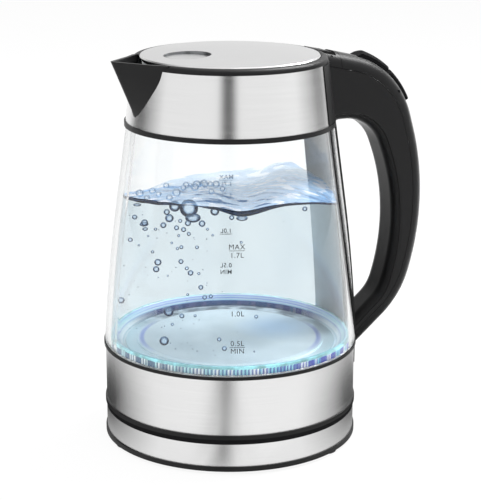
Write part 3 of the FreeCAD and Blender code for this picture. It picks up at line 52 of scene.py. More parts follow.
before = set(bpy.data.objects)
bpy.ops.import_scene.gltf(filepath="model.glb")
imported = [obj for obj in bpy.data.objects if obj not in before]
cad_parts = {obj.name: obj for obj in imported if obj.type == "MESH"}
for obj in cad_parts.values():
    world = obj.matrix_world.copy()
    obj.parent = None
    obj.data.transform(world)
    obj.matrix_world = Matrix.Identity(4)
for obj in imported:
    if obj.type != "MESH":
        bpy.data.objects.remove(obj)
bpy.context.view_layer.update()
MM = 0.001
BLACK = (0, 0, 0, 1)
WHITE = (1, 1, 1, 1)

# The glass: its outline is an arc from the foot to the bend and straight from there to the top
GLASS_LOW, GLASS_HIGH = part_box("glass_body")
GLASS_FOOT = GLASS_HIGH.x
GLASS_BEND_HEIGHT = 86.6 * MM
GLASS_BEND = GLASS_FOOT - 8.35 * MM
GLASS_TOP = GLASS_FOOT - 15.7 * MM
GLASS_BULGE = 3.49 * MM
GLASS_WALL = 3.6 * MM

# The photograph is seen from this side: unit vectors to the right and away, level with the floor
RIGHT = Vector((0.899, -0.438))
AWAY = Vector((0.438, 0.899))

# Bubbles under the water's surface: direction from +X in degrees, height and radius in millimetres, and
# for a flattened one its height as a share of its width
BUBBLES = (
    (-147.4, 162.4, 3.3), (-139.6, 161.6, 5.4), (-136.6, 156.4, 4.6, 0.6), (-124.1, 161.6, 2.6),
    (-176.1, 150.4, 1.5), (-166.9, 149.1, 2.0), (-152.9, 150.4, 1.8), (-149.8, 155.0, 2.5),
    (-151.3, 158.6, 1.8), (-157.3, 147.3, 1.0), (-144.5, 150.2, 1.5), (-140.4, 149.7, 1.5),
    (-138.3, 153.7, 1.8), (-142.5, 154.7, 1.2), (-130.6, 154.1, 2.0), (-137.3, 147.5, 1.2),
    (-142.7, 145.9, 0.9), (-178.2, 135.7, 1.4), (-146.4, 141.0, 0.8), (-141.0, 139.1, 1.2),
    (-143.1, 138.1, 1.0), (-132.6, 140.0, 1.1), (-158.1, 133.3, 1.0), (-154.9, 127.4, 2.1),
    (-155.6, 123.0, 1.9), (-141.0, 130.4, 1.5), (-137.6, 126.8, 1.2), (-135.7, 124.1, 1.7),
    (-131.2, 124.4, 0.9), (-147.5, 120.9, 0.6), (-130.2, 116.0, 1.5), (-136.6, 111.0, 0.9),
    (-128.2, 110.1, 1.4), (-125.2, 111.0, 1.2), (-72.8, 159.2, 1.5), (-115.1, 158.3, 1.5),
    (-109.6, 157.4, 3.4, 0.45), (174.6, 94.7, 2.0), (-147.3, 98.3, 2.9), (-139.4, 97.4, 1.5),
    (-132.6, 98.6, 0.9), (-144.1, 91.6, 1.0), (-149.2, 79.7, 2.8), (-121.0, 84.8, 1.3),
    (-118.6, 79.2, 1.5), (-103.6, 98.4, 1.2), (-104.8, 77.2, 0.6), (-127.4, 151.2, 0.9),
    (-124.7, 147.8, 0.8), (-110.4, 143.7, 0.9), (-168.4, 135.0, 0.7), (-161.8, 142.2, 0.7),
    (-176.0, 158.0, 2.2, 0.4), (-168.0, 147.8, 2.6, 0.5), (-165.5, 145.6, 1.6, 0.7),
)
BUBBLE_INSET = 1.2 * MM

# Froth on the water: place in X and Y and radius in millimetres
FROTH = (
    (-6, 26, 2.4), (-19, 9, 2.7), (-5, 10, 2.4), (-39, 11, 1.9), (-25, 12, 2.1), (-43, -14, 2.7),
    (-27, -6, 2.4), (-3, 23, 1.8), (-59, 5, 2.4), (-52, 2, 2.1), (-53, -10, 1.8), (-16, 3, 1.8),
    (-15, 28, 1.5), (-51, -22, 2.1), (-11, -12, 1.8), (-61, -12, 1.8), (-34, -4, 1.8),
    (-22, -19, 1.8), (-1, 41, 1.5),
)

# Water marks on both sides: direction from +X in degrees, then in millimetres how much bolder the letters
# are, each text with the height of its foot, and the heights of the lines
MARKS = (
    ("front_marks", -112.8, 0.0,
     (("MAX", 140.8), ("1.7L", 135.8), ("1.0L", 100.6), ("0.5L", 82.5), ("MIN", 77.8)),
     (140.0, 81.6)),
    ("back_marks", 66.0, 0.06,
     (("MAX", 150.8), ("1.7L", 146.0), ("1.5L", 138.0), ("1.0L", 112.0), ("0.5L", 86.8), ("MIN", 82.0)),
     (150.0, 111.2)),
)


def linear(colour):
    """Linear red, green, blue and alpha of an sRGB hex colour; any other value stays as it is."""
    if not isinstance(colour, str):
        return colour
    parts = [int(colour[i:i + 2], 16) / 255 for i in (1, 3, 5)]
    return [c / 12.92 if c <= 0.04045 else ((c + 0.055) / 1.055) ** 2.4 for c in parts] + [1.0]


def colour_setting(name, description, colour):
    return FloatVectorProperty(name=name, description=description, default=linear(colour), size=4,
                               subtype="COLOR", min=0, max=1)


class KettleSizes(bpy.types.PropertyGroup):
    """Sizes of what the dresser adds."""
    water_height: FloatProperty(
        name="Water height", description="Still water over the table", default=165.2 * MM, unit="LENGTH")
    waterline: FloatProperty(
        name="Waterline", description="Depth of the dark edge where the water meets the glass",
        default=1.5 * MM, unit="LENGTH")
    rib_count: IntProperty(
        name="Ribs", description="Ribs round the light ring", default=216, min=24)
    rib_depth: FloatProperty(
        name="Rib depth", description="Depth of the grooves between the ribs", default=0.7 * MM,
        unit="LENGTH")
    letter_height: FloatProperty(
        name="Letter height", description="Capitals of the water marks", default=3.1 * MM, unit="LENGTH")


class KettleColours(bpy.types.PropertyGroup):
    """Colours that a user would change."""
    steel: colour_setting("Steel", "Brushed stainless steel", "#e6e6e6")
    plastic: colour_setting("Plastic", "Black moulded plastic", "#0f0f10")
    water: colour_setting("Water", "Body of the water", "#d4e1e8")
    surface: colour_setting("Water surface", "Top of the water", "#3f7cb8")
    waterline: colour_setting("Waterline", "Dark edge of the water", "#06162c")
    light: colour_setting("Light", "Light ring", "#97dfe8")
    light_deep: colour_setting("Deep light", "Grooves of the light ring", "#2f48b8")
    marks: colour_setting("Marks", "Printed water marks", "#151618")


def sizes():
    return bpy.context.scene.kettle_sizes


def colours():
    return bpy.context.scene.kettle_colours


def glass_radius(z):
    """Outside of the glass at a height."""
    share = (z - GLASS_LOW.z) / GLASS_BEND_HEIGHT
    if share <= 1:
        share = max(share, 0)
        return GLASS_FOOT + (GLASS_BEND - GLASS_FOOT) * share + GLASS_BULGE * share * (1 - share)
    upper = GLASS_HIGH.z - GLASS_LOW.z - GLASS_BEND_HEIGHT
    return GLASS_BEND + (GLASS_TOP - GLASS_BEND) * (z - GLASS_LOW.z - GLASS_BEND_HEIGHT) / upper


# Meshes

def make_object(name, shape, *materials):
    """Turn a bmesh into an object in the scene."""
    mesh = bpy.data.meshes.new(name)
    shape.to_mesh(mesh)
    shape.free()
    for material in materials:
        mesh.materials.append(material)
    made = bpy.data.objects.new(name, mesh)
    bpy.context.scene.collection.objects.link(made)
    return made


def finish_piece(name, shape, body, slot, *materials, smooth=True):
    """Turn a bmesh into a piece that rides on a body."""
    for face in shape.faces:
        face.smooth = smooth
    piece = make_object(name, shape, *materials)
    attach(piece, body)
    return piece


def spun(profile, steps):
    """Closed shape of revolution about Z from corners (radius, height)."""
    shape = bmesh.new()
    corners = [shape.verts.new((radius, 0, height)) for radius, height in profile]
    edges = [shape.edges.new(pair) for pair in zip(corners, corners[1:])]
    bmesh.ops.spin(shape, geom=corners + edges, cent=(0, 0, 0), axis=(0, 0, 1), angle=math.tau, steps=steps,
                   use_merge=True)
    bmesh.ops.remove_doubles(shape, verts=shape.verts, dist=1e-6)
    bmesh.ops.recalc_face_normals(shape, faces=shape.faces)
    return shape


# Materials

def feed(node, inputs):
    """Set inputs of a node: each is a value, a hex colour or a socket to link."""
    for name, value in dict(inputs).items():
        if isinstance(value, bpy.types.NodeSocket):
            node.id_data.links.new(value, node.inputs[name])
        else:
            node.inputs[name].default_value = linear(value)


def add_node(tree, kind, inputs=(), stops=(), out=None, **settings):
    """Add a node with its settings, inputs and a ramp's stops; gives its named or its first live output."""
    node = tree.nodes.new("ShaderNode" + kind)
    if kind == "Mix":
        # Every mix here is of colours
        node.data_type = "RGBA"
    for name, value in settings.items():
        setattr(node, name, value)
    feed(node, inputs)
    if stops:
        ramp = node.color_ramp.elements
        for element, (place, colour) in zip((ramp[0], ramp[1]), (stops[0], stops[-1])):
            element.position = place
            element.color = linear(colour)
        for place, colour in stops[1:-1]:
            ramp.new(place).color = linear(colour)
    if out:
        return node.outputs[out]
    return next(socket for socket in node.outputs if socket.enabled)


def start_material(name, **values):
    """Material with a principled shader whose constant sockets are set by name."""
    material = bpy.data.materials.new(name)
    material.use_nodes = True
    tree = material.node_tree
    shader = tree.nodes["Principled BSDF"]
    feed(shader, {socket.replace("_", " "): value for socket, value in values.items()})
    return material, tree, shader


def axes(tree):
    """X, Y and Z of a point of the surface, by name."""
    place = add_node(tree, "TexCoord", out="Object")
    return add_node(tree, "SeparateXYZ", {0: place}).node.outputs


def grain(tree, cell, detail=2.0, turn=0.0):
    """Noise whose cells have a size in millimetres along X, Y and Z, turned about Z."""
    place = add_node(tree, "TexCoord", out="Object")
    scale = [size * MM for size in cell]
    cells = add_node(tree, "Mapping", {
        "Vector": place, "Rotation": (0, 0, turn), "Scale": scale}, vector_type="TEXTURE")
    return add_node(tree, "TexNoise", {"Vector": cells, "Scale": 1.0, "Detail": detail})


def from_axis(tree, x=0.0, y=0.0):
    """Distance of a point of the surface from an upright line."""
    place = add_node(tree, "TexCoord", out="Object")
    level = add_node(tree, "VectorMath", {0: place, 1: (1, 1, 0)}, operation="MULTIPLY")
    return add_node(tree, "VectorMath", {0: level, 1: (x, y, 0)}, operation="DISTANCE")


def along_line(tree, direction, low, high):
    """Share of 0 to 1 between two places along a level direction, in millimetres from the axis."""
    place = add_node(tree, "TexCoord", out="Object")
    reach = add_node(tree, "VectorMath", {0: place, 1: (*direction, 0)}, operation="DOT_PRODUCT")
    return add_node(tree, "MapRange", {"Value": reach, "From Min": low * MM, "From Max": high * MM})


def to_sides(tree, low, high):
    """Share of 0 to 1 between two distances to the photograph's left and to its right."""
    left, right = (along_line(tree, RIGHT, side * low, side * high) for side in (-1, 1))
    return add_node(tree, "Math", {0: left, 1: right}, operation="MAXIMUM")


def shaded(colour, share):
    return [c * share for c in linear(colour)[:3]] + [1.0]


def tint(tree, shader, colour):
    """Multiply what feeds a shader's base colour by another colour."""
    base = shader.inputs["Base Color"].links[0].from_socket
    tone = add_node(tree, "Mix", {0: 1.0, 6: base, 7: colour}, blend_type="MULTIPLY")
    feed(shader, {"Base Color": tone})


def uneven(tree, shader, pattern, colour, low, high, roughness, spread):
    """Colour and roughness that vary a little with a pattern."""
    first, last = 0.3, 0.7
    tone = add_node(tree, "ValToRGB", {"Fac": pattern}, [
        (first, shaded(colour, low)), (last, shaded(colour, high))])
    rough = add_node(tree, "MapRange", {
        "Value": pattern, "From Min": first, "From Max": last, "To Min": roughness * (1 - spread),
        "To Max": roughness * (1 + spread)})
    feed(shader, {"Base Color": tone, "Roughness": rough})


def brushed_steel(name, colour, cell, roughness, tangent_axis=None):
    """Stainless steel sheet brushed one way: fine streaks along the brush, a highlight spread across it."""
    material, tree, shader = start_material(name, Metallic=1.0, Anisotropic=0.85)
    streaks = grain(tree, cell, 1.0)
    uneven(tree, shader, streaks, colour, 0.965, 1.0, roughness, 0.06)
    bump = add_node(tree, "Bump", {"Strength": 0.01, "Distance": 0.02 * MM, "Height": streaks})
    feed(shader, {"Normal": bump})
    if tangent_axis:
        tangent = add_node(tree, "Tangent", direction_type="RADIAL", axis=tangent_axis)
        feed(shader, {"Tangent": tangent, "Anisotropic Rotation": 0.25})
    return material, tree, shader


def moulded(name, colour, roughness, grit, level=0.5, sheen=0.0):
    """Moulded plastic or rubber: a satin skin with a fine grain, a little uneven in gloss."""
    material, tree, shader = start_material(
        name, Specular_IOR_Level=level, Sheen_Weight=sheen, Sheen_Roughness=0.3)
    uneven(tree, shader, grain(tree, (22, 22, 22)), colour, 0.85, 1.15, roughness, 0.1)
    bump = add_node(tree, "Bump", {
        "Strength": 0.25, "Distance": 0.02 * MM, "Height": grain(tree, (grit, grit, grit))})
    feed(shader, {"Normal": bump})
    return material


def plain_metal(name, colour, roughness, cell):
    """Turned or drawn metal of the inner parts, with a faint tool mark."""
    material, tree, shader = start_material(name, Metallic=1.0)
    uneven(tree, shader, grain(tree, (cell, cell, cell)), colour, 0.88, 1.0, roughness, 0.2)
    return material


def see_through(material, tree, shader):
    """Let light for other pieces pass the material unhindered."""
    path = add_node(tree, "LightPath").node.outputs
    passing = add_node(tree, "Math", {
        0: path["Is Shadow Ray"], 1: path["Is Diffuse Ray"]}, operation="MAXIMUM")
    clear = add_node(tree, "BsdfTransparent")
    mixed = add_node(tree, "MixShader", {0: passing, 1: shader.outputs[0], 2: clear})
    feed(tree.nodes["Material Output"], {"Surface": mixed})
    return material


def dress(material, *names):
    for name in names:
        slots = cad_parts[name].data.materials
        slots.clear()
        slots.append(material)


class KETTLE_OT_steel(bpy.types.Operator):
    """Brushed steel for the wraps, the collar, the lid, the pillar's liner and the heating plate"""
    bl_idname = "kettle.steel"
    bl_label = "Dress steel"

    dimple_place = -29 * MM
    dimple_reach = 20 * MM
    # Heights over which the liner's painted shade sets in
    shade_foot = 148 * MM
    shade_top = 160 * MM
    light_pool_place = (35 * MM, 2 * MM)
    light_pool_core = 6 * MM
    light_pool_reach = 30 * MM
    rim_lines = 55 * MM
    rim_start = 55.5 * MM
    rim_end = 67 * MM
    # Where colours change, in millimetres from the axis
    shade_span = (-20, 20)
    rim_sides = (46, 57)
    rim_back = (15, 45)

    def execute(self, context):
        colour = colours().steel
        # Wraps: brushed round the jug; streaks drawn coarser than the real 0.1 mm so that they show
        wrap, _, _ = brushed_steel("brushed_stainless_round", colour, (40, 40, 0.5), 0.25, "Z")
        dress(wrap, "base_steel_wrap", "lower_steel_band", "upper_steel_collar")
        dress(self.lid_material(shaded(colour, 0.93)), "lid_cover")
        # The liner's steel is painted brighter than the wraps', a painted light
        dress(self.liner_material(shaded(colour, 1.22)), "pillar_liner")
        dress(self.plate_material(), "heater_plate")
        inner, _, _ = brushed_steel("brushed_stainless_inner", shaded(colour, 0.8), (20, 0.5, 20), 0.35)
        dress(inner, "lid_inner_plate")
        return {"FINISHED"}

    def lid_material(self, colour):
        """Satin lid, brushed straight across, with painted shade over the finger dimple, darkest in a ring at
        its wall.
        """
        material, tree, shader = brushed_steel("satin_stainless_lid", colour, (30, 0.5, 30), 0.3)
        feed(shader, {"Anisotropic": 0.0})
        distance = add_node(tree, "Math", {
            0: from_axis(tree, self.dimple_place), 1: self.dimple_reach}, operation="DIVIDE")
        # Painted shade over the finger dimple: a little darker inside, darkest in a ring at its wall
        dimple = add_node(tree, "ValToRGB", {"Fac": distance}, [
            (0.0, "#f6f6f6"), (0.55, WHITE), (0.68, "#d2d4d6"), (0.72, "#a0a2a4"), (0.735, "#a0a2a4"),
            (0.75, WHITE)])
        tint(tree, shader, dimple)
        return material

    def liner_material(self, colour):
        """Sheet inside the glass by the handle: steel painted brighter, and higher up a painted shade that
        darkens towards +Y.
        """
        material, tree, shader = brushed_steel("brushed_stainless_liner", colour, (40, 40, 0.5), 0.4, "Z")
        # Painted shade higher up on the liner, darker towards +Y
        liner_shade = add_node(tree, "ValToRGB", {"Fac": along_line(tree, (0, 1), *self.shade_span)}, [
            (0.1, "#b8babc"), (0.55, "#7e8082"), (1.0, "#434547")])
        dry = add_node(tree, "MapRange", {
            "Value": axes(tree)["Z"], "From Min": self.shade_foot, "From Max": self.shade_top})
        tint(tree, shader, add_node(tree, "Mix", {0: dry, 6: WHITE, 7: liner_shade}))
        return material

    def plate_material(self):
        """Bead-blasted plate with a painted pool of blue light on one side; its rim is painted violet light
        at the sides and a mottled painted reflection behind.
        """
        material, tree, shader = start_material("satin_stainless_plate", Metallic=0.6, Roughness=0.38)
        satin = add_node(tree, "ValToRGB", {"Fac": grain(tree, (30, 30, 30))}, [
            (0.35, "#d9e0e4"), (0.65, "#e9eef1")])
        # A painted pool of blue light from the light ring on one side of the plate
        light_pool = add_node(tree, "MapRange", {
            "Value": from_axis(tree, *self.light_pool_place), "From Min": self.light_pool_core,
            "From Max": self.light_pool_reach, "To Min": 0.85, "To Max": 0.0})
        plate = add_node(tree, "Mix", {0: light_pool, 6: satin, 7: "#d2e7ff"})
        # The rim by its distance from the axis: pale in front, painted violet light to the sides, a mottled
        # painted reflection at the back
        across = from_axis(tree)
        reach = add_node(tree, "MapRange", {
            "Value": across, "From Min": self.rim_lines, "From Max": self.rim_end})
        pale = add_node(tree, "ValToRGB", {"Fac": reach}, [
            (0.06, "#cfd9df"), (0.12, "#e9f1f4"), (0.5, "#f2f8fa"), (0.55, "#c3d0d8"), (0.6, "#e6f1f5"),
            (1.0, "#cfe6ec")])
        violet = add_node(tree, "ValToRGB", {"Fac": reach}, [
            (0.02, "#c3cdec"), (0.14, "#93a0da"), (0.26, "#b3c0e6"), (0.36, "#dbe8ee"), (1.0, "#c9e2ea")])
        aside = to_sides(tree, *self.rim_sides)
        lines = add_node(tree, "Mix", {0: aside, 6: pale, 7: violet})
        painted_rim_reflection = add_node(tree, "ValToRGB", {"Fac": grain(tree, (10, 10, 10), 3.0)}, [
            (0.4, "#6d747a"), (0.5, "#a5adb2"), (0.6, "#d5dbdf")])
        back = along_line(tree, AWAY, *self.rim_back)
        rim = add_node(tree, "Mix", {0: back, 6: lines, 7: painted_rim_reflection})
        edge = add_node(tree, "Math", {0: across, 1: self.rim_start}, operation="GREATER_THAN")
        tone = add_node(tree, "Mix", {0: edge, 6: plate, 7: rim})
        feed(shader, {"Base Color": tone})
        return material


class KETTLE_OT_plastic(bpy.types.Operator):
    """Black plastic for the base, the rings, the spout, the handle and the buttons"""
    bl_idname = "kettle.plastic"
    bl_label = "Dress plastic"

    def execute(self, context):
        colour = colours().plastic
        # Polypropylene, satin from a lightly etched mould
        satin = moulded("satin_black_plastic", colour, 0.4, 0.35, 0.24)
        dress(satin, "base_bottom_cover", "jug_bottom_cover", "lower_trim_ring", "collar_lower_ring",
              "top_frame", "lid_frame", "handle_pillar", "hinge_cover", "handle_shell")
        # The grip has a soft-touch coat, which is paler where it turns away
        dress(moulded("soft_touch_black_plastic", colour, 0.4, 0.35, 0.2, 0.5), "handle_spine_cover",
              "handle_inner_cover")
        # The base's deck and the buttons: the same plastic, matt
        deck = moulded("matt_black_plastic", shaded(colour, 1.6), 0.6, 0.5, 0.03)
        dress(deck, "base_top_cover", "lid_button", "power_switch", "latch_slider")
        dress(moulded("technical_black_plastic", "#1c1c1e", 0.5, 0.3), "base_coupler", "jug_coupler",
              "control_unit", "steam_switch", "cord_gland")
        dress(moulded("clear_nylon_mesh", "#c9cbcb", 0.45, 0.4), "spout_filter")
        return {"FINISHED"}


class KETTLE_OT_glass(bpy.types.Operator):
    """Clear glass for the jug"""
    bl_idname = "kettle.glass"
    bl_label = "Dress glass"

    def execute(self, context):
        # Borosilicate glass, blown and fire-polished: colourless, with a painted grey shade only where it
        # turns edge on
        material, tree, shader = start_material(
            "borosilicate_glass", IOR=1.47, Roughness=0.0, Transmission_Weight=1.0, Specular_IOR_Level=0.25)
        facing = add_node(tree, "LayerWeight", {"Blend": 0.5}, out="Facing")
        tone = add_node(tree, "ValToRGB", {"Fac": facing}, [(0.6, "#fdfefe"), (0.98, "#b0b5b7")])
        feed(shader, {"Base Color": tone})
        dress(see_through(material, tree, shader), "glass_body")
        return {"FINISHED"}


class KETTLE_OT_inner_parts(bpy.types.Operator):
    """Seals, metals, board, lamps and wires inside the kettle"""
    bl_idname = "kettle.inner_parts"
    bl_label = "Dress inner parts"

    def execute(self, context):
        dress(moulded("black_rubber", "#1a1a1a", 0.7, 0.4, 0.4), "base_foot_ring")
        dress(moulded("white_silicone", "#d9dcdc", 0.5, 0.6), "glass_seal_lower", "glass_seal_upper",
              "plate_seal", "lid_seal")
        dress(plain_metal("drawn_brass", "#c9a45a", 0.3, 1), "base_coupler_contacts", "jug_coupler_contacts")
        dress(plain_metal("cast_aluminium", "#b5b8ba", 0.45, 2), "heat_spreader")
        dress(plain_metal("plated_steel", "#b9bbbd", 0.35, 0.6), "base_cover_screws", "lid_screws")
        dress(plain_metal("blackened_steel", "#1b1b1d", 0.5, 0.6), "handle_screws", "lid_hinge_pin",
              "power_switch_pin", "latch_spring")
        dress(plain_metal("annealed_steel_tube", "#8d8a86", 0.4, 6), "heater_element")
        dress(moulded("white_circuit_board", "#e4e6e2", 0.5, 0.8), "led_board")
        dress(moulded("pvc_wire_skin", "#1d1d20", 0.45, 0.8), "switch_wires")
        lamp, _, _ = start_material(
            "blue_lamp_lens", Base_Color="#bfd8ff", Roughness=0.2, Emission_Color="#5b86ff",
            Emission_Strength=1.0)
        dress(lamp, "leds")
        return {"FINISHED"}


class KETTLE_OT_latch_leaf(bpy.types.Operator):
    """Leaf spring behind the latch, a copy of the latch spring that rides on the jug"""
    bl_idname = "kettle.latch_leaf"
    bl_label = "Make latch spring"

    travel = 3.0 * MM

    def execute(self, context):
        leaf = bpy.data.objects.new("latch_leaf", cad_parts["latch_spring"].data.copy())
        context.scene.collection.objects.link(leaf)
        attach(leaf, "jug")
        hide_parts("latch_spring")
        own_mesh(leaf)
        return {"FINISHED"}


class KETTLE_OT_light_ring(bpy.types.Operator):
    """Clear ribbed ring that carries the lamps' light round the foot of the glass"""
    bl_idname = "kettle.light_ring"
    bl_label = "Make light ring"

    wall = 2.0 * MM
    inner = 63.6 * MM
    flange_depth = 2.6 * MM
    slope_foot = 67.6 * MM
    rib_foot = 63.2 * MM
    rib_top = 66.4 * MM
    rib_run_out = 0.4 * MM
    # Where its colours change, in millimetres from the axis
    back_span = (20, 50)
    blue_span = (-30, 45)
    block_span = (15, 50)
    # Round the ring: how many dots and dark blocks, and over which height of a sine wave they lie
    dots = (120.0, 0.35)
    blocks = (46.0, 0.1)

    def execute(self, context):
        low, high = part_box("light_ring")
        outer = high.x
        flange = low.z + self.flange_depth
        ribs = sizes().rib_count
        rib_ends = (self.rib_foot, self.rib_top)
        shape = spun([(self.inner, low.z), (outer, low.z), (outer, self.rib_foot - self.rib_run_out),
                      (outer, self.rib_foot), (outer, self.rib_top), (outer, self.rib_top + self.rib_run_out),
                      (outer, high.z), (outer - self.wall, high.z), (self.slope_foot, flange),
                      (self.inner, flange), (self.inner, low.z)], ribs * 2)
        groove = outer - sizes().rib_depth
        step = math.pi / ribs
        for vert in shape.verts:
            across = math.hypot(vert.co.x, vert.co.y)
            turn = round(math.atan2(vert.co.y, vert.co.x) / step)
            ribbed = any(abs(vert.co.z - height) < self.rib_run_out / 2 for height in rib_ends)
            if turn % 2 and ribbed and across > outer - self.wall / 2:
                vert.co.xy *= groove / across
        ring = finish_piece("ribbed_light_ring", shape, "jug", "clear_plastic", self.material(groove, outer),
                            smooth=False)
        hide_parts("light_ring")
        return {"FINISHED"}

    def material(self, groove, outer):
        """Clear polycarbonate lit from below: a dark foot with dots, pale bands and bright ribs outside."""
        material, tree, shader = start_material(
            "lit_polycarbonate", Roughness=0.12, IOR=1.58, Emission_Strength=0.1, Specular_IOR_Level=0.3)
        place = axes(tree)
        across = from_axis(tree)
        turn = add_node(tree, "Math", {0: place["Y"], 1: place["X"]}, operation="ARCTAN2")
        inside = self.bands(tree, turn, across, outer)
        outside = self.ribs(tree, turn, across, groove, outer)
        # Over the ribs a smooth edge glows
        light = colours().light
        glow = add_node(tree, "ValToRGB", {"Fac": grain(tree, (9, 9, 9))}, [
            (0.36, shaded(light, 0.42)), (0.5, shaded(light, 0.62)), (0.64, light)])
        above = add_node(tree, "Math", {
            0: place["Z"], 1: self.rib_top + self.rib_run_out}, operation="GREATER_THAN")
        outside = add_node(tree, "Mix", {0: above, 6: outside, 7: glow})
        front = add_node(tree, "Math", {0: across, 1: outer - self.wall * 0.6}, operation="GREATER_THAN")
        tone = add_node(tree, "Mix", {0: front, 6: inside, 7: outside})
        alpha = add_node(tree, "MapRange", {"Value": front, "To Min": 0.75, "To Max": 0.95})
        feed(shader, {"Base Color": tone, "Emission Color": tone, "Alpha": alpha})
        return material

    def bands(self, tree, turn, across, outer):
        """Inside: bands from the foot of the slope to its crest, with painted shade at the back, and a row of
        dots.
        """
        climb = add_node(tree, "MapRange", {
            "Value": across, "From Min": self.slope_foot, "From Max": outer - self.wall})
        pale = add_node(tree, "ValToRGB", {"Fac": climb}, [
            (0.0, "#dcecf1"), (0.2, "#b9d3de"), (0.28, "#f2f9fb"), (0.5, "#cfe4ec"), (0.56, "#93a5dd"),
            (0.62, "#d3eef3"), (0.86, "#a2dde5"), (0.93, "#8fb0e2"), (1.0, "#a6d8e2")])
        dark = add_node(tree, "ValToRGB", {"Fac": climb}, [
            (0.0, "#101c3c"), (0.3, "#1e2f62"), (0.5, "#2c3f7c"), (0.58, "#9fc4dc"), (0.66, "#cfdfe4"),
            (0.74, "#7d90dc"), (0.8, "#cfdfe8"), (0.92, "#9fb0ea"), (1.0, "#e6f4f8")])
        back = along_line(tree, AWAY, *self.back_span)
        bands = add_node(tree, "Mix", {0: back, 6: pale, 7: dark})
        row = add_node(tree, "Math", {0: climb, 1: 0.06, 2: 0.05}, operation="COMPARE")
        dots = add_node(tree, "Math", {0: self.repeat(tree, turn, *self.dots), 1: row}, operation="MULTIPLY")
        return add_node(tree, "Mix", {0: dots, 6: bands, 7: WHITE})

    def ribs(self, tree, turn, across, groove, outer):
        """Outside: ribs, grey to one side and blue to the other, their ridges painted lit and their grooves
        painted in shade; to both sides every second block is dark.
        """
        # Painted light and shade across each rib: lit at the ridge, in shade in the groove, with white
        # patches of painted highlight
        ridge = add_node(tree, "MapRange", {"Value": across, "From Min": groove, "From Max": outer})
        side = along_line(tree, RIGHT, *self.blue_span)
        deep = add_node(tree, "Mix", {0: side, 6: "#4a6c8c", 7: colours().light_deep})
        cyan = add_node(tree, "Mix", {0: side, 6: "#c4eef0", 7: "#74dcea"})
        patches = add_node(tree, "MapRange", {
            "Value": grain(tree, (5, 5, 40), 1.0), "From Min": 0.42, "From Max": 0.58})
        bright = add_node(tree, "Mix", {0: patches, 6: cyan, 7: "#f8ffff"})
        ribs = add_node(tree, "Mix", {0: ridge, 6: deep, 7: bright})
        dim = add_node(tree, "Math", {
            0: self.repeat(tree, turn, *self.blocks), 1: to_sides(tree, *self.block_span)},
            operation="MULTIPLY")
        return add_node(tree, "Mix", {0: dim, 6: ribs, 7: deep})

    def repeat(self, tree, turn, count, over):
        """1 on evenly spaced stretches round the ring and 0 between them."""
        phase = add_node(tree, "Math", {0: turn, 1: count}, operation="MULTIPLY")
        beat = add_node(tree, "Math", {0: phase}, operation="SINE")
        return add_node(tree, "Math", {0: beat, 1: over}, operation="GREATER_THAN")


def bell(value, middle, width):
    """Bell curve of height 1."""
    return math.exp(-((value - middle) / width) ** 2)


def wave(x, y):
    """Height of the water over its still level: a trough in front, a slope behind and ripples.

    The shares along and deep are of the glass's radius, and what they give is in millimetres.
    """
    reach = GLASS_BEND - GLASS_WALL
    along = (x * RIGHT.x + y * RIGHT.y) / reach
    deep = (x * AWAY.x + y * AWAY.y) / reach
    behind = min(max((deep + 0.15) / 0.6, 0.0), 1.0)
    front = -(10.0 + 3.6 * along) * along ** 4 - 4.2 * bell(along, 0.12, 0.2)
    back = -8.0 + 5.5 * along + 6.0 * bell(along, 0.56, 0.22) - 3.0 * along ** 4
    ripples = 0.7 * math.sin(9 * along + 4 * deep) * math.cos(11 * deep - 3 * along)
    ripples += 0.4 * math.sin(23 * along - 17 * deep)
    return (front * (1 - behind) + back * behind + ripples * (0.35 + 0.65 * behind)) * MM


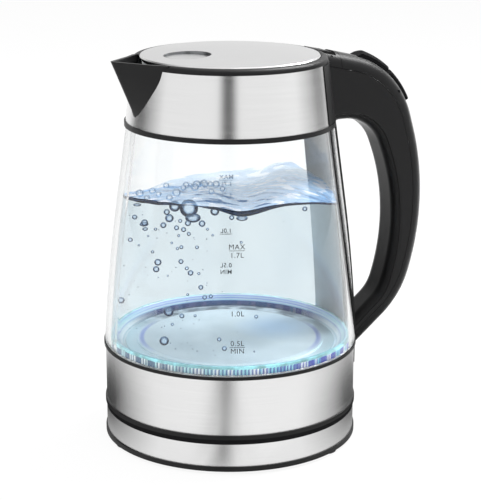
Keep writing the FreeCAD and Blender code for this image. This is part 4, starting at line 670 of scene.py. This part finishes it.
class KETTLE_OT_water(bpy.types.Operator):
    """Water in the jug, with waves and a painted dark edge along the glass"""
    bl_idname = "kettle.water"
    bl_label = "Pour water"

    gap = 0.25 * MM
    near = 0.01 * MM
    floor_reach = 70.0 * MM
    crest_step = 2 * MM
    wave_depth = 30 * MM
    wall_rings = 24
    surface_rings = 40
    steps_round = 128
    # The dark edge: degrees that it runs on past the photograph's left and right, and its section
    overrun = 4
    edge_steps = 160
    edge_section = ((0.1, 1.0), (-0.5, 0.4), (-0.5, -0.6), (0.1, -1.0))
    edge_least = 0.05 * MM
    # Where the surface's look changes, in millimetres from the axis
    ripple_span = (15, -35)
    left_span = (5, -60)
    far_span = (-20, 40)
    wall_span = (5, 60)
    turn = math.atan2(RIGHT.y, RIGHT.x)

    def wall(self, z):
        return glass_radius(z) - GLASS_WALL - self.gap

    def execute(self, context):
        level = sizes().water_height
        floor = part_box("heater_plate")[1].z + self.gap
        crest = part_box("light_ring")[1].z + self.gap
        heights = [crest + (level - crest) * i / self.wall_rings for i in range(self.wall_rings + 1)]
        profile = [(0, floor), (self.floor_reach, floor), (self.wall(crest) - self.crest_step, crest)]
        profile += [(self.wall(z), z) for z in heights]
        rim = self.wall(level)
        profile += [(rim * (1 - i / self.surface_rings), level) for i in range(1, self.surface_rings + 1)]
        shape = spun(profile, self.steps_round)
        for face in shape.faces:
            face.material_index = int(face.calc_center_median().z > level - self.near)
        start = level - self.wave_depth
        for vert in shape.verts:
            across = math.hypot(vert.co.x, vert.co.y)
            share = (vert.co.z - start) / (level - start)
            if share <= 0:
                continue
            was = self.wall(vert.co.z)
            lift = wave(vert.co.x, vert.co.y) * share
            if across > was - self.near:
                vert.co.xy *= self.wall(vert.co.z + lift) / across
            vert.co.z += lift
        finish_piece("water_fill", shape, "jug", "glass", self.body_material(), self.surface_material())
        self.make_waterline(level)
        return {"FINISHED"}

    def make_waterline(self, level):
        """Dark ribbon on the wall along the front half of the water's edge, thin towards its ends: a sheet of
        painted shade where the water meets the glass.
        """
        shape = bmesh.new()
        still = self.wall(level)
        first = math.atan2(-RIGHT.y, -RIGHT.x) - math.radians(self.overrun)
        sweep = math.radians(180 + 2 * self.overrun)
        corners = [shape.verts.new((still + out * MM, 0, level + up * MM)) for out, up in self.edge_section]
        edges = [shape.edges.new(pair) for pair in zip(corners, corners[1:] + corners[:1])]
        bmesh.ops.spin(shape, geom=corners + edges, cent=(0, 0, 0), axis=(0, 0, 1), angle=sweep,
                       steps=self.edge_steps)
        bmesh.ops.holes_fill(shape, edges=[edge for edge in shape.edges if edge.is_boundary])
        for vert in shape.verts:
            out = math.hypot(vert.co.x, vert.co.y) - still
            up = (vert.co.z - level) / MM
            share = math.atan2(vert.co.y, vert.co.x) % math.tau / sweep
            angle = first + sweep * share
            x, y = still * math.cos(angle), still * math.sin(angle)
            along = (x * RIGHT.x + y * RIGHT.y) / still
            z = level + wave(x, y)
            radius = self.wall(z) + out
            vert.co = (radius * math.cos(angle), radius * math.sin(angle), z + up * self.half(along, share))
        bmesh.ops.recalc_face_normals(shape, faces=shape.faces)
        edge, tree, shader = start_material("water_edge", Roughness=0.3, Specular_IOR_Level=0.0, Alpha=0.95)
        tone = add_node(tree, "ValToRGB", {"Fac": grain(tree, (9, 9, 1.2))}, [
            (0.4, colours().waterline), (0.7, shaded(colours().waterline, 2.5))])
        feed(shader, {"Base Color": tone})
        finish_piece("waterline", shape, "jug", "glass", edge)

    def half(self, along, share):
        """Half the ribbon's depth: deepest at the trough and the left end, least behind the large bubbles."""
        depth = 0.45 + 0.7 * bell(along, 0.16, 0.25) + 0.4 * bell(along, -0.75, 0.2)
        depth *= 1 - 0.9 * bell(along, -0.34, 0.1)
        ends = min(1, 14 * share, 14 * (1 - share))
        return max(sizes().waterline * depth * ends, self.edge_least)

    def body_material(self):
        """Clear water, a breath of blue, without the bending of light so that the marks stay readable."""
        material, tree, shader = start_material(
            "clear_water", IOR=1.0, Roughness=0.0, Transmission_Weight=1.0, Specular_IOR_Level=0.0)
        tone = add_node(tree, "ValToRGB", {"Fac": grain(tree, (45, 45, 70))}, [
            (0.35, colours().water), (0.65, "#dfeaef")])
        feed(shader, {"Base Color": tone})
        return see_through(material, tree, shader)

    def surface_material(self):
        """The water's moving skin: blue-grey with a faint painted blue glow, painted dark ripples and white
        glints in front, clear far left.
        """
        # A faint blue emission: painted light from the ring below
        material, tree, shader = start_material(
            "water_surface", IOR=1.33, Roughness=0.15, Specular_IOR_Level=0.0, Emission_Strength=0.2,
            Emission_Color="#3aa0f5")
        swell = add_node(tree, "ValToRGB", {"Fac": grain(tree, (22, 8, 9), 3.0, self.turn)}, [
            (0.32, colours().surface), (0.5, "#82b4e4"), (0.68, "#cfe4f7")])
        front = along_line(tree, AWAY, *self.ripple_span)
        # Painted shade: dark ripples in front
        fine = add_node(tree, "ValToRGB", {"Fac": grain(tree, (16, 7, 6), 2.0, self.turn)}, [
            (0.53, BLACK), (0.6, WHITE)])
        ripples = add_node(tree, "Math", {0: fine, 1: front}, operation="MULTIPLY")
        rippled = add_node(tree, "Mix", {0: ripples, 6: swell, 7: "#123a68"})
        glints = add_node(tree, "ValToRGB", {"Fac": grain(tree, (13, 9, 5), 1.0, self.turn)}, [
            (0.57, BLACK), (0.62, WHITE)])
        skin = add_node(tree, "Mix", {0: glints, 6: rippled, 7: "#fdfeff"})
        # Clear towards the far left and thin at the far wall
        left = along_line(tree, RIGHT, *self.left_span)
        far = along_line(tree, AWAY, *self.far_span)
        bare = add_node(tree, "Math", {0: left, 1: far}, operation="MULTIPLY")
        thin = add_node(tree, "Math", {
            0: along_line(tree, AWAY, *self.wall_span), 1: 0.8}, operation="MULTIPLY")
        clear = add_node(tree, "Math", {0: bare, 1: thin}, operation="MAXIMUM")
        thinned = add_node(tree, "MapRange", {"Value": clear, "To Min": 0.5, "To Max": 0.16})
        # Dense where ripples and glints run in front
        sparks = add_node(tree, "Math", {0: glints, 1: front}, operation="MULTIPLY")
        marked = add_node(tree, "Math", {0: ripples, 1: sparks}, operation="MAXIMUM")
        dense = add_node(tree, "Math", {0: marked, 1: 0.9}, operation="MULTIPLY")
        alpha = add_node(tree, "Math", {0: thinned, 1: dense}, operation="MAXIMUM")
        feed(shader, {"Base Color": skin, "Alpha": alpha})
        return see_through(material, tree, shader)


class KETTLE_OT_bubbles(bpy.types.Operator):
    """Bubbles under the water's surface and froth on it"""
    bl_idname = "kettle.bubbles"
    bl_label = "Make bubbles"

    seed = 7
    # Specks: how many, their mean direction and its spread in degrees, heights and radii in millimetres
    specks = 70
    speck_direction = (-148, 22)
    speck_heights = (75, 158)
    speck_radii = (0.2, 0.45)
    froth_lift = 0.3

    def execute(self, context):
        chance = random.Random(self.seed)
        shape = bmesh.new()
        for direction, height, radius, *flat in BUBBLES:
            self.add(shape, direction, height * MM, radius * MM, 3 if radius > 1 else 2, *flat)
        for _ in range(self.specks):
            direction = chance.gauss(*self.speck_direction)
            height = chance.uniform(*self.speck_heights)
            self.add(shape, direction, height * MM, chance.uniform(*self.speck_radii) * MM, 1)
        deep = self.material("water_bubble", "#081f3c", "#9dbfe2", 0.97)
        finish_piece("bubbles", shape, "jug", "glass", deep)
        froth = bmesh.new()
        for x, y, radius in FROTH:
            level = sizes().water_height + wave(x * MM, y * MM)
            centre = Vector((x * MM, y * MM, level + radius * self.froth_lift * MM))
            bmesh.ops.create_icosphere(froth, subdivisions=3, radius=radius * MM,
                                       matrix=Matrix.Translation(centre))
        pale = self.material("water_froth", "#6c8fb4", "#dde8f1", 0.6)
        finish_piece("froth", froth, "jug", "glass", pale)
        return {"FINISHED"}

    def add(self, shape, direction, height, radius, finest, flat=1.0):
        across = glass_radius(height) - GLASS_WALL - BUBBLE_INSET - radius
        turn = math.radians(direction)
        place = Matrix.Translation((across * math.cos(turn), across * math.sin(turn), height))
        place = place @ Matrix.Diagonal((1, 1, flat, 1))
        bmesh.ops.create_icosphere(shape, subdivisions=finest, radius=radius, matrix=place)

    def material(self, name, rim, heart, strength):
        """A gas bubble in water: clear in the middle, with painted shade where its skin turns edge on and
        underneath, the rim's shade eased at the top.
        """
        material, tree, shader = start_material(name, Roughness=0.3, Specular_IOR_Level=0.0)
        facing = add_node(tree, "LayerWeight", {"Blend": 0.5}, out="Facing")
        turned = add_node(tree, "MapRange", {"Value": facing, "From Min": 0.07, "From Max": 0.27})
        normal = add_node(tree, "TexCoord", out="Normal")
        height = add_node(tree, "SeparateXYZ", {0: normal}, out="Z")
        # Painted shade underneath; over the top the rim's painted shade is lighter
        under = add_node(tree, "MapRange", {
            "Value": height, "From Min": -0.1, "From Max": -0.6, "To Max": 0.9})
        over = add_node(tree, "MapRange", {
            "Value": height, "From Min": 0.2, "From Max": 0.9, "To Min": 1.0, "To Max": 0.4})
        edge = add_node(tree, "Math", {0: turned, 1: over}, operation="MULTIPLY")
        skin = add_node(tree, "Math", {0: edge, 1: under}, operation="MAXIMUM")
        tone = add_node(tree, "Mix", {0: skin, 6: heart, 7: rim})
        alpha = add_node(tree, "MapRange", {"Value": skin, "To Min": 0.2, "To Max": strength})
        feed(shader, {"Base Color": tone, "Alpha": alpha})
        return see_through(material, tree, shader)


class KETTLE_OT_marks(bpy.types.Operator):
    """Water marks printed on the glass, in front and on the opposite side"""
    bl_idname = "kettle.marks"
    bl_label = "Print water marks"

    proud = 0.04 * MM
    line_width = 9.4 * MM
    line_depth = 0.3 * MM
    letter_space = 1.1
    # Height of a capital as a share of the font's size
    capital_share = 0.7

    def execute(self, context):
        ink, tree, shader = start_material("screen_print_ink", Roughness=0.6)
        wear = add_node(tree, "ValToRGB", {"Fac": grain(tree, (0.8, 0.8, 0.8))}, [
            (0.3, colours().marks), (0.7, "#2b2d30")])
        feed(shader, {"Base Color": wear})
        for name, direction, bold, texts, lines in MARKS:
            shape = bmesh.new()
            for text, foot in texts:
                self.print_text(shape, text, direction, foot * MM, bold * MM)
            for height in lines:
                self.print_line(shape, direction, height * MM)
            finish_piece(name, shape, "jug", "black_plastic", ink)
        return {"FINISHED"}

    def wrap(self, verts, direction, foot):
        """Bend flat letters onto the glass."""
        for vert in verts:
            across, up = vert.co.x, vert.co.y
            height = foot + up
            radius = glass_radius(height) + self.proud
            turn = math.radians(direction) + across / radius
            vert.co = (radius * math.cos(turn), radius * math.sin(turn), height)

    def print_text(self, shape, text, direction, foot, bold):
        curve = bpy.data.curves.new("letters", "FONT")
        curve.body = text
        curve.size = sizes().letter_height / self.capital_share
        curve.align_x = "CENTER"
        curve.space_character = self.letter_space
        curve.offset = bold
        letters = bpy.data.objects.new("letters", curve)
        bpy.context.scene.collection.objects.link(letters)
        flat = bpy.data.meshes.new_from_object(letters.evaluated_get(bpy.context.evaluated_depsgraph_get()))
        bpy.data.objects.remove(letters)
        known = set(shape.verts)
        shape.from_mesh(flat)
        self.wrap([vert for vert in shape.verts if vert not in known], direction, foot)
        bpy.data.meshes.remove(flat)

    def print_line(self, shape, direction, foot):
        made = bmesh.ops.create_grid(shape, x_segments=12, y_segments=1, size=0.5)["verts"]
        for vert in made:
            vert.co = (vert.co.x * self.line_width, vert.co.y * self.line_depth, 0)
        self.wrap(made, direction, foot)


class KETTLE_OT_stage(bpy.types.Operator):
    """White floor and surround, cards for the steel's reflections, soft lamps and the camera"""
    bl_idname = "kettle.stage"
    bl_label = "Set stage"

    floor_radius = 6.0
    lamp_aim = (0, 0, 0.12)
    camera_place = (-0.4470, -0.9166, 0.4001)
    camera_dip = 15.34

    def execute(self, context):
        scene = context.scene
        scene.view_settings.view_transform = "Standard"
        self.make_world(scene)
        self.make_floor()
        self.make_cards()
        self.make_lamps(scene)
        self.make_camera(scene)
        return {"FINISHED"}

    def shown(self, tree):
        """1 for rays that show the surround: from the camera, off gloss and through glass."""
        path = add_node(tree, "LightPath").node.outputs
        first = add_node(tree, "Math", {
            0: path["Is Camera Ray"], 1: path["Is Glossy Ray"]}, operation="MAXIMUM")
        return add_node(tree, "Math", {0: first, 1: path["Is Transmission Ray"]}, operation="MAXIMUM")

    def make_world(self, scene):
        world = bpy.data.worlds.new("white_surround")
        scene.world = world
        world.use_nodes = True
        tree = world.node_tree
        strength = add_node(tree, "MapRange", {"Value": self.shown(tree), "To Min": 0.7, "To Max": 1.0})
        feed(tree.nodes["Background"], {"Color": WHITE, "Strength": strength})

    def make_floor(self):
        material, tree, shader = start_material(
            "white_paper", Base_Color=(0.9, 0.9, 0.9, 1), Roughness=0.9, Specular_IOR_Level=0.0)
        white = add_node(tree, "Emission", {"Color": WHITE, "Strength": 1.0})
        share = add_node(tree, "Math", {0: self.shown(tree), 1: 0.9}, operation="MULTIPLY")
        mixed = add_node(tree, "MixShader", {0: share, 1: shader.outputs[0], 2: white})
        feed(tree.nodes["Material Output"], {"Surface": mixed})
        shape = bmesh.new()
        bmesh.ops.create_circle(shape, cap_ends=True, segments=96, radius=self.floor_radius)
        piece = make_object("floor", shape, material)

    def card(self, name, middle, across, upward, dark, core):
        """A card that only reflections see: dark in the middle, white towards its edges."""
        material, tree, _ = start_material(name)
        place = add_node(tree, "TexCoord", out="Object")
        offset = add_node(tree, "VectorMath", {0: place, 1: middle}, operation="SUBTRACT")
        shares = [add_node(tree, "VectorMath", {
            0: offset, 1: edge / edge.length_squared}, operation="DOT_PRODUCT") for edge in (across, upward)]
        both = add_node(tree, "CombineXYZ", {0: shares[0], 1: shares[1]})
        reach = add_node(tree, "VectorMath", {0: both}, operation="LENGTH")
        tone = add_node(tree, "ValToRGB", {"Fac": reach}, [(core, (dark, dark, dark, 1)), (1.0, WHITE)])
        glow = add_node(tree, "Emission", {"Color": tone, "Strength": 1.0})
        feed(tree.nodes["Material Output"], {"Surface": glow})
        spread = Matrix.Translation(middle)
        spread.col[0].xyz = across
        spread.col[1].xyz = upward
        shape = bmesh.new()
        bmesh.ops.create_grid(shape, x_segments=1, y_segments=1, size=1, matrix=spread)
        piece = make_object(name, shape, material)
        for rays in ("camera", "diffuse", "transmission", "shadow"):
            setattr(piece, "visible_" + rays, False)

    def spot(self, along, away, height):
        """Place by distances to the photograph's right, away from its camera and up."""
        flat = RIGHT * along + AWAY * away
        return Vector((flat.x, flat.y, height))

    def make_cards(self):
        # Each card: its middle and half its width and height as spots, how dark it is and how far from
        # its middle. Flags in front make the narrow streak down the steel, the card behind shades the
        # lid's far half, and those at the sides darken the flanks of the collar and of the lower bands.
        tall = (0, 0, 3.0)
        for name, middle, across, upward, dark, core in (
                ("front_flag", (-0.035, -1.15, 0.3), (0.23, 0, 0), tall, 0.01, 0.3),
                ("floor_flag", (-0.015, -0.3, 0.002), (0.045, 0, 0), (0, -0.25, 0), 0.15, 0.15),
                ("near_flag", (-0.008, -0.115, 0.003), (0.016, 0, 0), (0, -0.05, 0), 0.25, 0.1),
                ("back_card", (0.1, 1.5, 0.6), (1.2, 0, 0), (0, 0, 0.6), 0.74, 0.3),
                ("side_card", (-1.2, 0.6, 0.3), (0, 0.9, 0), tall, 0.02, 0.18),
                ("side_floor_card", (-0.13, 0.055, 0.002), (0.13, 0, 0), (0, 0.15, 0), 0.02, 0.25),
                ("side_card", (1.2, 0.6, 0.3), (0, 0.9, 0), tall, 0.2, 0.18),
                ("side_floor_card", (0.13, 0.055, 0.002), (0.13, 0, 0), (0, 0.15, 0), 0.06, 0.25)):
            self.card(name, self.spot(*middle), self.spot(*across), self.spot(*upward), dark, core)

    def make_lamps(self, scene):
        for name, place, width, height, power, glossy in (
                ("key_softbox", self.spot(-0.9, -0.6, 1.5), 1.2, 1.2, 14.0, False),
                ("top_softbox", self.spot(0.3, 0.2, 1.8), 1.4, 1.4, 10.0, True),
                ("crown_softbox", self.spot(0.75, 0.45, 1.25), 0.45, 0.9, 26.0, True)):
            lamp = bpy.data.lights.new(name, "AREA")
            lamp.shape = "RECTANGLE"
            lamp.size = width
            lamp.size_y = height
            lamp.energy = power
            holder = bpy.data.objects.new(name, lamp)
            holder.location = place
            aim = Vector(self.lamp_aim) - place
            holder.rotation_euler = aim.to_track_quat("-Z", "Y").to_euler()
            holder.visible_camera = False
            holder.visible_glossy = glossy
            holder.visible_transmission = False
            scene.collection.objects.link(holder)

    def make_camera(self, scene):
        camera = bpy.data.cameras.new("photo_camera")
        camera.sensor_fit = "HORIZONTAL"
        camera.sensor_width = 36.0
        camera.lens = 123.87
        camera.shift_x = 0.0231
        camera.clip_end = 50
        holder = bpy.data.objects.new("photo_camera", camera)
        holder.location = self.camera_place
        tilt = math.radians(90 - self.camera_dip)
        holder.rotation_euler = (tilt, 0, math.atan2(-AWAY.x, AWAY.y))
        scene.collection.objects.link(holder)
        scene.camera = holder


OPERATORS = (KETTLE_OT_steel, KETTLE_OT_plastic, KETTLE_OT_glass, KETTLE_OT_inner_parts,
             KETTLE_OT_latch_leaf, KETTLE_OT_light_ring, KETTLE_OT_water, KETTLE_OT_bubbles,
             KETTLE_OT_marks, KETTLE_OT_stage)


class KETTLE_PT_dresser(bpy.types.Panel):
    """Lists the dresser's steps and settings"""
    bl_idname = "KETTLE_PT_dresser"
    bl_label = "Glass kettle"
    bl_space_type = "VIEW_3D"
    bl_region_type = "UI"
    bl_category = "Kettle"

    def draw(self, context):
        for settings in (context.scene.kettle_sizes, context.scene.kettle_colours):
            box = self.layout.box()
            for name in settings.__annotations__:
                box.prop(settings, name)
        for step in OPERATORS:
            self.layout.operator(step.bl_idname)


CLASSES = (KettleSizes, KettleColours, *OPERATORS, KETTLE_PT_dresser)


def register():
    for item in CLASSES:
        bpy.utils.register_class(item)
    bpy.types.Scene.kettle_sizes = PointerProperty(type=KettleSizes)
    bpy.types.Scene.kettle_colours = PointerProperty(type=KettleColours)


def unregister():
    del bpy.types.Scene.kettle_colours
    del bpy.types.Scene.kettle_sizes
    for item in reversed(CLASSES):
        bpy.utils.unregister_class(item)


def main():
    register()
    for step in OPERATORS:
        getattr(bpy.ops.kettle, step.bl_idname.split(".")[1])()


if __name__ == "__main__":
    main()
